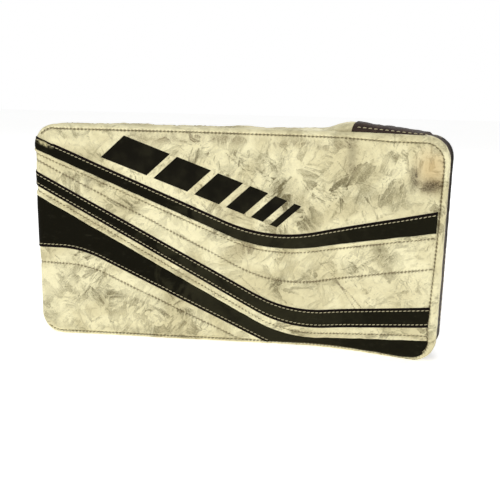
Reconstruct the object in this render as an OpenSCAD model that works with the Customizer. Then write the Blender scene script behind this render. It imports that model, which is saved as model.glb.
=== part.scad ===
// Ice hockey goalkeeper's blocker: a flared foam board with a protective glove on its rear.
// X runs along the board towards its flared forearm end, Y from the face to the palm side,
// and Z up from the thumb-side wall on which the board stands. Units are millimetres.

/* [Board] */
// Length of the board, measured along its face
board_len = 381; // [370:1:390]
// Width of the board, which is its height as it stands
board_w = 203; // [200:1:210]
// Thickness of the board over its covers
board_t = 38; // [36:1:44]
// Radius of the board's corners
corner_r = 20; // [14:1:26]
// Flat length before the board bends forward
flat_len = 250; // [245:1:260]
// Radius of the bend on the face side
bend_r = 200; // [160:5:240]
// Angle by which the forearm end flares forward, for a slope of 7 in 24 or 44 in 117
flare_angle = 16.2602; // [16.2602, 20.6097]
// Thickness of the synthetic leather covers
skin_t = 1.5; // [1:0.1:2]
// Thickness of the hard foam behind the face
front_foam_t = 12; // [8:1:14]
// Thickness of the plastic stiffener sheet
sheet_t = 2; // [1.5:0.1:3]

/* [Face trim] */
// Width of the edge binding on the face
binding_w = 6; // [4:0.5:8]
// Thickness of the edge binding
binding_t = 1; // [0.8:0.1:1.4]
// Thickness of the sewn stripes
stripe_t = 0.8; // [0.6:0.1:1]
// Thickness of the emblem's film
emblem_t = 0.4; // [0.3:0.1:0.6]
// Height of the emblem's bars
emblem_h = 27; // [20:1:30]

/* [Glove] */
// Height of the glove's centreline above the thumb-side wall
hand_z = 104; // [102:1:108]
// Distance between neighbouring fingers
finger_pitch = 26; // [26:0.5:27]
// Outer radius of a finger stall
finger_r = 12.5; // [12:0.1:12.5]
// Wall of the glove leather
leather_t = 2; // [1.6:0.1:2.2]
// Depth of the room for the hand
hand_room = 27; // [27:0.5:30]
// Thickness of the foam under the back of the hand
backing_t = 9; // [7:1:10]
// Outer radius of the thumb stall
thumb_r = 13; // [12:0.5:13]
// Thickness of the thumb guard
thumb_guard_t = 6; // [5:0.5:7]
// Angle between the thumb and the fingers at rest
thumb_angle = 25; // [20:1:30]

/* [Cuff and strap] */
// Length of the cuff pads
cuff_len = 88; // [80:1:95]
// Thickness of the cuff's side pads
cuff_t = 8; // [6:0.5:9]
// Width of the wrist strap
strap_w = 38; // [30:1:38]
// Thickness of the wrist strap
strap_t = 2.4; // [2:0.1:3]

/* [Hidden] */
$fn = 96;
far = 500;

// Board, where a depth counts inwards from the face
x_left = -board_len / 2;
bend_x = x_left + flat_len;
front_y = -board_t / 2;
rear_y = board_t / 2;
bend_len = bend_r * flare_angle * PI / 180;
flare_len = board_len - flat_len - bend_len;
sheet_d = skin_t + front_foam_t;
core_d = sheet_d + sheet_t;
rear_d = board_t - skin_t;

// Seam at which the side wall turns dark, which leans towards the forearm end
seam_x = bend_x + 44;
seam_lean = 6;

// Emblem: bars that grow narrower, in a row that falls towards the forearm end
bar_widths = [46, 34, 25, 18, 12, 7];
bar_gap = 7;
bar_slant = 14;
emblem_slope = -20;
emblem_start = [64, 175];

// Glove stack, outwards from the board's rear
patch_t = 2;
plate_t = 3;
plate_y = rear_y + patch_t;
pad_y = plate_y + plate_t;
room_y = pad_y + backing_t;
glove_y = room_y + hand_room + leather_t;
axis_y = room_y + hand_room / 2;

// Hand
knuckle_x = -35;
palm_x0 = knuckle_x + finger_r + 1;
palm_x1 = 60;
palm_h = 4 * finger_pitch + 4;
palm_z0 = hand_z - palm_h / 2 - leather_t;
palm_z1 = hand_z + palm_h / 2 + leather_t;
palm_corner = 12;
palm_patch_t = 1.2;
finger_lens = [68, 76, 71, 58];
finger_pad_x = -132;

// Guards beside the index and little fingers
guard_x = -128;
guard_len = 78;
guard_t = 12;
guard_h = 43;
guard_corner = 14;
guard_gap = 2;
insert_t = 1.5;
roll_x = -116;
roll_len = 88;
roll_r = 7;
roll_h = 25;

// Thumb
thumb_x = 26;
thumb_len = 48;
joint_gap = 0.5;
thumb_z = palm_z0 - joint_gap - thumb_r;
thumb_guard_start = 14;
thumb_guard_top = 4;

// Cuff
cuff_x = palm_x1;
cuff_z0 = palm_z0 - 4;
cuff_z1 = palm_z1 + 4;
cuff_h = 52;
cuff_low_h = 42;
cuff_top_len = 60;
cuff_corner = 6;
cuff_top = pad_y + cuff_h;

// Strap, which turns on the ring's bar and folds under the thumb-side pad
ring_base_t = 2;
ear_t = 3;
ear_r = 3.4;
bar_r = 2;
bar_play = 0.1;
eye_r = bar_r + bar_play + 2.5;
side_play = 1;
turn_gap = 0.4;
bar_y = cuff_top + ring_base_t + eye_r + turn_gap;
bar_z = cuff_z1 - eye_r;
strap_x = cuff_x + 13;
strap_y = bar_y - eye_r;
fastener_t = 1.2;
leg_len = 30;
leg_z = cuff_z0 - 2 * fastener_t - 0.3;
tab_len = 12;
tab_inset = 8;

// Bolts, as [x, z] on the board's rear
bolt_places = [
    [-142, hand_z - 12], [-142, hand_z + 12],
    [43, palm_z0 - 14], [43, palm_z1 + 14]
];
bolt_r = 2.5;
thread_play = 0.1;
bolt_head_r = 7;
bolt_head_h = 3;
nut_flange_r = 9;
nut_flange_t = 1.5;
nut_barrel_r = 4;
nut_h = 13;
nut_y = front_y + core_d;
tip_y = nut_y + 3;
mount_corner = 8;

white = "#ece6c0";
black = "#1d1c17";
slate = "#3c3836";
foam = "#c9c9c2";
grey = "#8d8d88";
pale_plastic = "#dedede";

// X of a place at distance u along the face
function x_at(u) =
    let (a = min(max(u - flat_len, 0), bend_len) / bend_r * 180 / PI)
    x_left + min(u, flat_len) + bend_r * sin(a) + max(u - flat_len - bend_len, 0) * cos(flare_angle);

// Points of a line from [0, left] to [board_len, right] that turns at knee = [u, v], rounded over blend
function knee_line(left, knee, right, blend, steps = 8) =
    let (
        slope_in = (knee[1] - left) / knee[0],
        slope_out = (right - knee[1]) / (board_len - knee[0]),
        p0 = [knee[0] - blend, knee[1] - blend * slope_in],
        p2 = [knee[0] + blend, knee[1] + blend * slope_out]
    )
    concat(
        [[0, left]],
        [for (i = [0:steps]) let (t = i / steps) (1 - t) ^ 2 * p0 + 2 * t * (1 - t) * knee + t ^ 2 * p2],
        [[board_len, right]]
    );

function reversed(points) = [for (i = [len(points) - 1:-1:0]) points[i]];

// Coordinates of the flare: x along it from the end of the bend, y in from the face
module in_flare()
    translate([bend_x, front_y - bend_r, 0]) rotate([0, 0, -flare_angle]) translate([0, bend_r, 0]) children();

// Plan of a layer between depths d0 and d1: flat, then bent, then flared
module layer_plan(d0, d1, inset) {
    translate([x_left + inset, front_y + d0]) square([flat_len - inset, d1 - d0]);
    translate([bend_x, front_y - bend_r]) {
        intersection() {
            difference() {
                circle(bend_r + d1, $fn = 360);
                circle(bend_r + d0, $fn = 360);
            }
            square(far);
            rotate(-flare_angle) translate([-far, 0]) square(far);
        }
        rotate(-flare_angle) translate([0, bend_r + d0]) square([flare_len - inset, d1 - d0]);
    }
}

// Waste outside a rounded corner at the origin of a board that extends towards +X and +Z
module corner_waste(r)
    translate([-1, -far / 4, -1]) difference() {
        cube([r + 1, far / 2, r + 1]);
        translate([r + 1, -1, r + 1]) rotate([-90, 0, 0]) cylinder(r = r, h = far / 2 + 2);
    }

// One layer of the board, with its rounded corners
module board_layer(d0, d1, inset = 0)
    difference() {
        translate([0, 0, inset]) linear_extrude(board_w - 2 * inset) layer_plan(d0, d1, inset);
        for (up = [0, 1]) translate([0, 0, up * board_w]) mirror([0, 0, up]) {
            translate([x_left + inset, 0, inset]) corner_waste(corner_r - inset);
            in_flare() translate([flare_len - inset, 0, inset]) mirror([1, 0, 0])
                corner_waste(corner_r - inset);
        }
    }

// A solid t proud of the face, whose outline runs through points [u, v] on it
module on_face(points, t)
    intersection() {
        board_layer(-t, 0);
        rotate([90, 0, 0]) linear_extrude(far, center = true)
            polygon([for (p = points) [x_at(p[0]), p[1]]]);
    }

// Everything near the face inside the edge binding, which leaves the finger end bare
module inside_binding() {
    board_layer(-2 * binding_t, 2 * binding_t, binding_w);
    translate([x_left - 1, front_y - 2 * binding_t, binding_w])
        cube([flat_len / 2, 4 * binding_t, board_w - 2 * binding_w]);
}

module rounded_rect(size, r) {
    translate([r, 0]) square([size[0] - 2 * r, size[1]]);
    translate([0, r]) square([size[0], size[1] - 2 * r]);
    for (x = [r, size[0] - r], y = [r, size[1] - r]) translate([x, y]) circle(r);
}

// Plate in the XZ plane, t thick from y towards +Y
module upright_plate(x0, x1, z0, z1, y, t, r)
    translate([x0, y + t, z0]) rotate([90, 0, 0]) linear_extrude(t) rounded_rect([x1 - x0, z1 - z0], r);

// A cylinder along Y at each bolt
module at_bolts(r, y0, y1)
    for (p = bolt_places) translate([p[0], y0, p[1]]) rotate([-90, 0, 0]) cylinder(r = r, h = y1 - y0);

// Board covers and core

module front_cover() color(white) board_layer(0, skin_t);

module front_foam() color(foam) board_layer(skin_t, sheet_d, skin_t);

module stiffener_sheet() color(pale_plastic) board_layer(sheet_d, core_d, skin_t);

module core_foam() color(foam) difference() {
    board_layer(core_d, rear_d, skin_t);
    at_bolts(nut_flange_r, nut_y - 1, nut_y + nut_flange_t);
    at_bolts(nut_barrel_r, nut_y, nut_y + nut_h);
    at_bolts(bolt_r, nut_y, rear_y);
}

module rear_cover() color(white) difference() {
    board_layer(rear_d, board_t);
    at_bolts(bolt_r, nut_y, rear_y + 1);
}

// The skin round the board's sides
module side_skin() difference() {
    board_layer(skin_t, rear_d);
    board_layer(0, board_t, skin_t);
}

// Everything on the forearm side of the leaning seam
module beyond_seam()
    translate([0, 0, -1]) linear_extrude(board_w + 2)
        polygon([[seam_x, -far], [far, -far], [far, far], [seam_x + seam_lean, far],
                 [seam_x + seam_lean, rear_y], [seam_x, front_y]]);

// Everything at the finger end between the corners
module finger_end()
    translate([x_left - 1, -far, corner_r]) cube([corner_r, 2 * far, board_w - 2 * corner_r]);

module side_wall_strip(z) color(white) difference() {
    intersection() {
        side_skin();
        translate([-far, -far, z]) cube([2 * far, 2 * far, board_w / 2]);
    }
    beyond_seam();
    finger_end();
}

module side_wall_lower() side_wall_strip(0);

module side_wall_upper() side_wall_strip(board_w / 2);

module side_wall_finger_end() color(white) intersection() {
    side_skin();
    finger_end();
}

module side_wall_dark() color(slate) intersection() {
    side_skin();
    beyond_seam();
}

module edge_binding() color(white) difference() {
    board_layer(-binding_t, 0);
    inside_binding();
}

module rear_binding() color(black) difference() {
    board_layer(board_t, board_t + binding_t);
    board_layer(board_t - binding_t, board_t + 2 * binding_t, binding_w);
}

// Face trim

module stripe(points) color(black) intersection() {
    on_face(points, stripe_t);
    inside_binding();
}

module stripe_upper() stripe(concat(
    knee_line(194, [225, 101], 140.5, 45),
    reversed(knee_line(181, [225, 88], 120.8, 45))
));

module stripe_middle() stripe(concat(
    knee_line(160.5, [245, 32], 52.8, 35),
    reversed(knee_line(146.5, [245, 14], 33.5, 35))
));

// The lower stripe leaves the finger end as a wedge and runs out along the thumb-side edge
module stripe_lower() {
    edge_u = 223;
    stripe(concat(
        knee_line(137.5, [244, 5], 21.2, 35),
        [[board_len, 0], [edge_u, 0]],
        reversed([for (p = knee_line(86.5, [42, 86], -74, 20)) if (p[0] < edge_u) p])
    ));
}

function bar_start(i) = i == 0 ? 0 : bar_start(i - 1) + bar_widths[i - 1] + bar_gap;

// A place on the face from a place along and above the emblem's baseline
function on_baseline(p) = emblem_start + [
    p[0] * cos(emblem_slope) - p[1] * sin(emblem_slope),
    p[0] * sin(emblem_slope) + p[1] * cos(emblem_slope)
];

module emblem_bars() color(black)
    for (i = [0:len(bar_widths) - 1]) {
        w = bar_widths[i];
        outline = [[0, 0], [w, 0], [w + bar_slant, emblem_h], [bar_slant, emblem_h]];
        on_face([for (p = outline) on_baseline(p + [bar_start(i), 0])], emblem_t);
    }

// Glove mounting

module mount_loop_patch() color(slate)
    upright_plate(-124, 50, palm_z0 + 6, palm_z1 - 6, rear_y, patch_t, mount_corner);

// Plate with a tab for the finger-end bolts, a strip for the other two and a spacer at each bolt
module mount_plate() color(pale_plastic) difference() {
    union() {
        upright_plate(finger_pad_x, palm_x1 - 3, palm_z0, palm_z1, plate_y, plate_t, mount_corner);
        upright_plate(-155, finger_pad_x + 20, hand_z - 25, hand_z + 25, plate_y, plate_t, mount_corner);
        upright_plate(31, 55, palm_z0 - 26, palm_z1 + 26, plate_y, plate_t, mount_corner);
        at_bolts(bolt_head_r + 2, rear_y, plate_y + 1);
    }
    at_bolts(bolt_r, rear_y - 1, pad_y + 1);
}

module mount_bolts() color("silver") {
    at_bolts(bolt_head_r, pad_y, pad_y + bolt_head_h);
    at_bolts(bolt_r - thread_play, tip_y, pad_y + 1);
}

module tee_nuts() color("silver") difference() {
    union() {
        at_bolts(nut_flange_r, nut_y, nut_y + nut_flange_t);
        at_bolts(nut_barrel_r, nut_y, nut_y + nut_h);
    }
    at_bolts(bolt_r, nut_y - 1, nut_y + nut_h + 1);
}

// Foam pads and guards

module backhand_pad() color(slate)
    upright_plate(palm_x0, palm_x1, palm_z0, palm_z1, pad_y, backing_t, 4);

module finger_backing_pad() color(slate)
    upright_plate(finger_pad_x, palm_x0 - 1, palm_z0, palm_z1, pad_y, backing_t, 10);

// Slab beside the index finger, with its free corners rounded
module guard_slab(t, inset)
    translate([guard_x + inset, rear_y + inset, palm_z0 - guard_gap - guard_t / 2 - t / 2]) linear_extrude(t) {
        size = [guard_len - 2 * inset, guard_h - 2 * inset];
        square([size[0], size[1] / 2]);
        rounded_rect(size, guard_corner - inset / 2);
    }

module index_guard() color(white) difference() {
    guard_slab(guard_t, 0);
    index_guard_insert();
}

module index_guard_insert() color(grey) guard_slab(insert_t, 5);

// Foam roll beside the little finger, on a flat base
module little_finger_guard() color(white)
    translate([roll_x, rear_y, palm_z1 + guard_gap]) {
        cube([roll_len, roll_h, 2 * roll_r]);
        translate([0, roll_h, roll_r]) rotate([0, 90, 0]) cylinder(r = roll_r, h = roll_len);
    }

// Glove shell

// Section of the palm, its first axis along Y and its second along Z, open towards the board
module palm_section(wall, mouth_y) {
    translate([mouth_y, palm_z0 + wall])
        square([glove_y - palm_corner - mouth_y, palm_z1 - palm_z0 - 2 * wall]);
    translate([mouth_y, palm_z0 + palm_corner])
        square([glove_y - wall - mouth_y, palm_z1 - palm_z0 - 2 * palm_corner]);
    for (z = [palm_z0 + palm_corner, palm_z1 - palm_corner])
        translate([glove_y - palm_corner, z]) circle(palm_corner - wall);
}

module palm_leather() color(grey) difference() {
    translate([palm_x0, 0, 0]) rotate([90, 0, 90]) linear_extrude(palm_x1 - palm_x0) difference() {
        palm_section(0, room_y);
        palm_section(leather_t, room_y - 1);
    }
    translate([thumb_x, axis_y, palm_z0 - 1]) cylinder(r = thumb_r - leather_t, h = leather_t + 2);
}

module palm_patch() color(slate)
    upright_plate(palm_x0 + 4, palm_x1 - 6, palm_z0 + 16, palm_z1 - 16, glove_y, palm_patch_t, palm_corner);

// Hollow stall along -X with a knuckle round the Z axis, open at the top or towards the palm
module stall(length, r, open_top = false) {
    inner = r - leather_t;
    difference() {
        union() {
            rotate([0, -90, 0]) cylinder(r = r, h = length);
            translate([-length, 0, 0]) sphere(r);
            cylinder(r = r, h = 2 * r, center = true);
        }
        rotate([0, -90, 0]) cylinder(r = inner, h = length);
        translate([-length, 0, 0]) sphere(inner);
        cylinder(r = inner, h = 2 * inner, center = true);
        if (open_top) cylinder(r = inner, h = r + 1);
        else rotate([0, 90, 0]) cylinder(r = inner, h = r + 1);
    }
}

module finger_stall(i) color(grey)
    translate([knuckle_x, axis_y, hand_z + (i - 1.5) * finger_pitch]) stall(finger_lens[i], finger_r);

module stall_index() finger_stall(0);

module stall_middle() finger_stall(1);

module stall_ring() finger_stall(2);

module stall_little() finger_stall(3);

module in_thumb() translate([thumb_x, axis_y, thumb_z]) rotate([0, 0, -thumb_angle]) children();

module thumb_stall() color(grey) in_thumb() stall(thumb_len, thumb_r, open_top = true);

// Half pipe with a domed end round the lower side of the thumb, between radii r0 and r1
module thumb_trough(r0, r1, start, top)
    difference() {
        union() {
            translate([-start, 0, 0]) rotate([0, -90, 0]) cylinder(r = r1, h = thumb_len - start);
            translate([-thumb_len, 0, 0]) sphere(r1);
        }
        rotate([0, -90, 0]) cylinder(r = r0, h = thumb_len);
        translate([-thumb_len, 0, 0]) sphere(r0);
        translate([-far / 2, -far / 2, top]) cube(far);
        translate([-start, -far / 2, -far / 2]) cube(far);
    }

module thumb_guard() color(white) difference() {
    in_thumb() thumb_trough(
        thumb_r + joint_gap, thumb_r + joint_gap + thumb_guard_t, thumb_guard_start, thumb_guard_top
    );
    thumb_guard_insert();
}

module thumb_guard_insert() color(pale_plastic) {
    r = thumb_r + joint_gap + 2;
    in_thumb() thumb_trough(r, r + insert_t, thumb_guard_start + 4, thumb_guard_top - 4);
}

// Cuff

module cuff_back_pad() color(slate)
    upright_plate(cuff_x, cuff_x + cuff_len, cuff_z0 + cuff_t, cuff_z1 - cuff_t, pad_y, backing_t, 4);

// Side pad whose free edge falls towards the forearm
module cuff_side_pad(z)
    translate([cuff_x, pad_y, z]) linear_extrude(cuff_t) hull() {
        square([cuff_len, 10]);
        translate([cuff_corner, cuff_h - cuff_corner]) circle(cuff_corner);
        translate([cuff_top_len - cuff_corner, cuff_h - cuff_corner]) circle(cuff_corner);
        translate([cuff_len - 10, cuff_low_h - 10]) circle(10);
    }

module cuff_pad_thumb_side() color(white) cuff_side_pad(cuff_z0);

module cuff_pad_outer_side() color(white) cuff_side_pad(cuff_z1 - cuff_t);

module cuff_loop_patch() color(slate)
    translate([strap_x, strap_y - leg_len - 4, cuff_z0 - fastener_t]) cube([strap_w, leg_len, fastener_t]);

// Ring on the outer cuff pad: a base, two ears and the bar that the strap turns on
module strap_ring() color(black) {
    x0 = strap_x - side_play - ear_t;
    x1 = strap_x + strap_w + side_play;
    translate([x0, cuff_top, cuff_z1 - cuff_t]) cube([x1 + ear_t - x0, ring_base_t, cuff_t]);
    for (x = [x0, x1]) {
        translate([x, cuff_top, bar_z - ear_r]) cube([ear_t, bar_y - cuff_top, 2 * ear_r]);
        translate([x, bar_y, bar_z]) rotate([0, 90, 0]) cylinder(r = ear_r, h = ear_t);
    }
    translate([x0, bar_y, bar_z]) rotate([0, 90, 0]) cylinder(r = bar_r, h = x1 - x0);
}

// Strap with an eye round the bar, an upright run and a leg folded under the thumb-side pad
module wrist_strap() color(black) difference() {
    union() {
        translate([strap_x, bar_y, bar_z]) rotate([0, 90, 0]) cylinder(r = eye_r, h = strap_w);
        translate([strap_x, strap_y, leg_z - strap_t]) cube([strap_w, strap_t, bar_z - leg_z + strap_t]);
        translate([strap_x, strap_y - leg_len, leg_z - strap_t])
            cube([strap_w, leg_len + strap_t, strap_t]);
    }
    translate([strap_x - 1, bar_y, bar_z]) rotate([0, 90, 0])
        cylinder(r = bar_r + bar_play, h = strap_w + 2);
}

module strap_hook_patch() color(slate)
    translate([strap_x + 1, strap_y - leg_len, leg_z]) cube([strap_w - 2, leg_len - 2, fastener_t]);

module strap_pull_tab() color(black)
    translate([strap_x + tab_inset, strap_y - leg_len - tab_len, leg_z - strap_t])
        cube([strap_w - 2 * tab_inset, tab_len, strap_t]);

front_cover();
front_foam();
stiffener_sheet();
core_foam();
rear_cover();
side_wall_lower();
side_wall_upper();
side_wall_finger_end();
side_wall_dark();
edge_binding();
rear_binding();
stripe_upper();
stripe_middle();
stripe_lower();
emblem_bars();
mount_loop_patch();
mount_plate();
mount_bolts();
tee_nuts();
backhand_pad();
finger_backing_pad();
index_guard();
index_guard_insert();
little_finger_guard();
palm_leather();
palm_patch();
stall_index();
stall_middle();
stall_ring();
stall_little();
thumb_stall();
thumb_guard();
thumb_guard_insert();
cuff_back_pad();
cuff_pad_thumb_side();
cuff_pad_outer_side();
cuff_loop_patch();
strap_ring();
wrist_strap();
strap_hook_patch();
strap_pull_tab();
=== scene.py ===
"""The looks of an ice hockey goalkeeper's blocker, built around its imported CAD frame.

Lengths are millimetres until add_mesh() and move_to() write metres, and axes are the frame's.
A place on the board is (a, b, out): a runs along the face from the finger end and b up it from
the thumb-side wall, both measured along the cover, so that past the outline they go on over the
rolled rim and down the side walls. out stands off the cover.
"""

import math

import bpy
import numpy as np
from mathutils import Matrix, Vector, noise
from mathutils.bvhtree import BVHTree


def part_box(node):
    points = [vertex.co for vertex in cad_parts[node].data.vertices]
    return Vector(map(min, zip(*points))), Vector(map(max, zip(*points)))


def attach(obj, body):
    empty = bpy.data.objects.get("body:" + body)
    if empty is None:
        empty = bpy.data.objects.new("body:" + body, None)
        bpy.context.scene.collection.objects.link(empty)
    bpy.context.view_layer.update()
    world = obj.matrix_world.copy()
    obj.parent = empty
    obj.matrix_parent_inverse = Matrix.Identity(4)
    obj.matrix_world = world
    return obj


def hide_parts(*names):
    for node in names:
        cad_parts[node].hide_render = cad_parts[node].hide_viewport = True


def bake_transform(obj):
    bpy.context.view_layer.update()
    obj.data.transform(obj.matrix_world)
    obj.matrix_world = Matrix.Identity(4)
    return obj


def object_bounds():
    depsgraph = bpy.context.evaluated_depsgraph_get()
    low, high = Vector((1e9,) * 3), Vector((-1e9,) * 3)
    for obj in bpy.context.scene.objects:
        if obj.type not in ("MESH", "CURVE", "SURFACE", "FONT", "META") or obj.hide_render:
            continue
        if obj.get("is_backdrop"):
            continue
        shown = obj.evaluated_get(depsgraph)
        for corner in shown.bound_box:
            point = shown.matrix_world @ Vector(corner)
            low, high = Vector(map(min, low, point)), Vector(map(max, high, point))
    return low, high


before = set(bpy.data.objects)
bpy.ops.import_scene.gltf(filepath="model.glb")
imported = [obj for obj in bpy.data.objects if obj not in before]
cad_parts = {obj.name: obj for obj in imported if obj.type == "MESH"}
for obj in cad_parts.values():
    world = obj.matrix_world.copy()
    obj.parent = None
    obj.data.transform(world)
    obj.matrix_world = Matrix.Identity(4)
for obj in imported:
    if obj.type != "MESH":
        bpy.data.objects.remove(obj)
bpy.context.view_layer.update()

MM = 0.001


def cad_box(node):
    """A CAD node's lowest and highest corners, in millimetres."""
    low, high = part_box(node)
    return np.array(low) / MM, np.array(high) / MM


def clamped(value):
    """value, kept between 0 and 1."""
    return np.clip(value, 0, 1)


def ramp(value, start, end):
    """0 at start and 1 at end, straight between them and level outside."""
    return clamped((value - start) / (end - start))


def quarter_round(distance, reach):
    """Height from 0 to 1 of an edge that is rounded over reach."""
    return np.sqrt(1 - (1 - clamped(distance / reach)) ** 2)


def smooth_step(share):
    """A share from 0 to 1, eased at both ends."""
    return share**2 * (3 - 2 * share)


def bell(distance, width):
    """1 at no distance, and down to nearly 0 at twice the width."""
    return np.exp(-((distance / width) ** 2))


def ripple(distance, period):
    """A cosine of that period."""
    return np.cos(distance * 2 * math.pi / period)


def unit(vectors):
    """The vectors at length 1."""
    return vectors / np.linalg.norm(vectors, axis=-1)[..., None]


def grid(first, second):
    """The two coordinates of a grid of places."""
    return np.meshgrid(first, second, indexing="ij")


def spaced(low, high, step):
    """Evenly spaced values from low to high, about step apart."""
    return np.linspace(low, high, max(int(round((high - low) / step)), 1) + 1)


# Board, which bends forward at the forearm end
COVER_LOW, COVER_HIGH = cad_box("front_cover")
REAR_Y = cad_box("rear_cover")[1][1]
X_LEFT = COVER_LOW[0]
FRONT_Y = -REAR_Y
BOARD_T = 2 * REAR_Y
BOARD_W = COVER_HIGH[2] - COVER_LOW[2]
BOARD_L = 2 * abs(X_LEFT)
FLAT_L = 250.0
BEND_R = 200.0
FLARE = math.atan2(7, 24)
BEND_L = BEND_R * FLARE
CORNER_R = 20.0
RIM_R = 4.0
ROLL_L = RIM_R * math.pi / 2
FACE_REACH = ROLL_L - RIM_R
SIDE_T = BOARD_T - 2 * RIM_R
STRAIGHT = (BOARD_L - 2 * CORNER_R, BOARD_W - 2 * CORNER_R)
INNER = np.array([BOARD_L - CORNER_R, BOARD_W - CORNER_R])
ARC = CORNER_R * math.pi / 2
# Distances round the outline: top, forearm end, bottom and finger end, each with the corner after it
TOP_S = 0.0
FOREARM_S = STRAIGHT[0] + ARC
BOTTOM_S = FOREARM_S + STRAIGHT[1] + ARC
FINGER_S = BOTTOM_S + STRAIGHT[0] + ARC
ROUND_S = FINGER_S + STRAIGHT[1] + ARC
SIDE_STARTS = np.array((TOP_S, FOREARM_S, BOTTOM_S, FINGER_S))
SIDE_CORNERS = np.array(((0, 1), (1, 1), (1, 0), (0, 0)))
SIDE_NORMALS = np.array(((0, 1), (1, 0), (0, -1), (-1, 0)), float)
# Two of the sides, by their places in SIDE_STARTS
BOTTOM, FINGER_END = 2, 3

# ---------------------------------------------------------------- places on the board


def bent(u, v, out):
    """The place u along, v up and out from the face, where u runs along the bend and the flare."""
    turned = np.clip(u - FLAT_L, 0, BEND_L) / BEND_R
    past = np.maximum(u - FLAT_L - BEND_L, 0)
    radius = BEND_R - out
    x = X_LEFT + np.minimum(u, FLAT_L) + radius * np.sin(turned) + past * np.cos(turned)
    y = FRONT_Y - BEND_R + radius * np.cos(turned) - past * np.sin(turned)
    return np.stack(np.broadcast_arrays(x, y, v), -1)


def rolled(centre, normal, inset, out, rear=False):
    """The place inset along the cover from the outline, which is CORNER_R from centre along normal.

    The cover is flat down to RIM_R, then rolls over the rim, and a lower inset runs down the side wall.
    """
    turn = np.clip((RIM_R - inset) / RIM_R, 0, math.pi / 2)
    down = np.maximum(-FACE_REACH - inset, 0)
    flat_inset = np.maximum(inset - RIM_R, 0) + RIM_R - (RIM_R + out) * np.sin(turn)
    depth = RIM_R - (RIM_R + out) * np.cos(turn) + down
    if rear:
        depth = BOARD_T - depth
    place = centre + normal * (CORNER_R - flat_inset)[..., None]
    return bent(place[..., 0], place[..., 1], -depth)


def on_board(a, b, out, rear=False):
    """The place (a, b, out) on the cover, whose corners are rounded."""
    a, b, out = (np.asarray(value, float) for value in np.broadcast_arrays(a, b, out))
    wanted = np.stack([a, b], -1)
    centre = np.clip(wanted, CORNER_R, INNER)
    away = wanted - centre
    reach = np.abs(away).max(-1)
    normal = away / np.maximum(np.linalg.norm(away, axis=-1), 1e-9)[..., None]
    return rolled(centre, normal, CORNER_R - reach, out, rear)


def round_board(s, inset, out, rear=False):
    """The place s round the outline, clockwise from the top's finger end, and inset from it."""
    s, inset, out = (np.asarray(value, float) for value in np.broadcast_arrays(s, inset, out))
    s = s % ROUND_S
    side = np.searchsorted(SIDE_STARTS, s, side="right") - 1
    along = s - SIDE_STARTS[side]
    length = np.array(STRAIGHT * 2)[side]
    start = SIDE_CORNERS[side] * np.array(STRAIGHT) + CORNER_R
    normal = SIDE_NORMALS[side]
    tangent = np.stack([normal[..., 1], -normal[..., 0]], -1)
    centre = start + tangent * np.minimum(along, length)[..., None]
    turned = (np.maximum(along - length, 0) / CORNER_R)[..., None]
    return rolled(centre, normal * np.cos(turned) + tangent * np.sin(turned), inset, out, rear)


def knee_line(left, knee, right, blend):
    """The height b, as a function of a, of a line that turns at knee = (a, b), rounded over blend."""
    slope_in = (knee[1] - left) / knee[0]
    slope_out = (right - knee[1]) / (BOARD_L - knee[0])

    def height(a):
        past = a - knee[0] + blend
        turned = blend * clamped(past / (2 * blend)) ** 2 + np.maximum(past - 2 * blend, 0)
        return left + slope_in * a + (slope_out - slope_in) * turned

    return height


def steepness(line, a):
    """How much longer a knee line is at a than its run along the face."""
    return np.sqrt(1 + (line(a + 0.5) - line(a - 0.5)) ** 2)


def across(line, a, b):
    """How far (a, b) lies above a knee line, square to it."""
    return (b - line(a)) / steepness(line, a)


def flat_place(a, b):
    """The places (a, b) as vectors, for a material that marks them."""
    return np.stack([a, b, np.zeros_like(a)], -1)


def over_board(down, step):
    """A grid of places over the whole cover and down the side walls."""
    low = -FACE_REACH - down
    return grid(spaced(low, BOARD_L - low, step), spaced(low, BOARD_W - low, step))


# ---------------------------------------------------------------- meshes


def waves(*coordinates, size, seed=0, octaves=3):
    """Smooth noise between about -1 and 1 over two or three coordinates, with features of that size."""
    points = np.stack([np.asarray(c, float) for c in np.broadcast_arrays(*coordinates)], -1)
    shape = points.shape[:-1]
    points = points.reshape(-1, points.shape[-1]) / size
    if points.shape[1] == 2:
        points = np.column_stack([points, np.zeros(len(points))])
    points = points + np.array([17.3, 5.1, 11.7]) * (seed + 1)
    values = [noise.fractal(p, 1.0, 2.0, octaves) for p in points]
    return np.array(values).reshape(shape)


def add_object(name, data):
    """A new object in the scene."""
    made = bpy.data.objects.new(name, data)
    bpy.context.scene.collection.objects.link(made)
    return made


def add_mesh(name, points, faces, material, **attributes):
    """A smooth mesh object from points in millimetres."""
    mesh = bpy.data.meshes.new(name)
    mesh.from_pydata((np.asarray(points) * MM).tolist(), [], np.asarray(faces).tolist())
    mesh.polygons.foreach_set("use_smooth", [True] * len(mesh.polygons))
    mesh.update()
    for key, values in attributes.items():
        values = np.asarray(values, np.float32)
        kind, field = ("FLOAT_VECTOR", "vector") if values.ndim == 2 else ("FLOAT", "value")
        mesh.attributes.new(key, kind, "POINT").data.foreach_set(field, values.ravel())
    mesh.materials.append(material)
    return add_object(name, mesh)


def grid_faces(n, m, wrap=False):
    """The faces of an n by m grid of points, which closes on itself along the first axis with wrap."""
    i, j = (index.ravel() for index in grid(np.arange(n if wrap else n - 1), np.arange(m - 1)))
    after = (i + 1) % n
    return np.column_stack([i * m + j, after * m + j, after * m + j + 1, i * m + j + 1])


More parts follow.
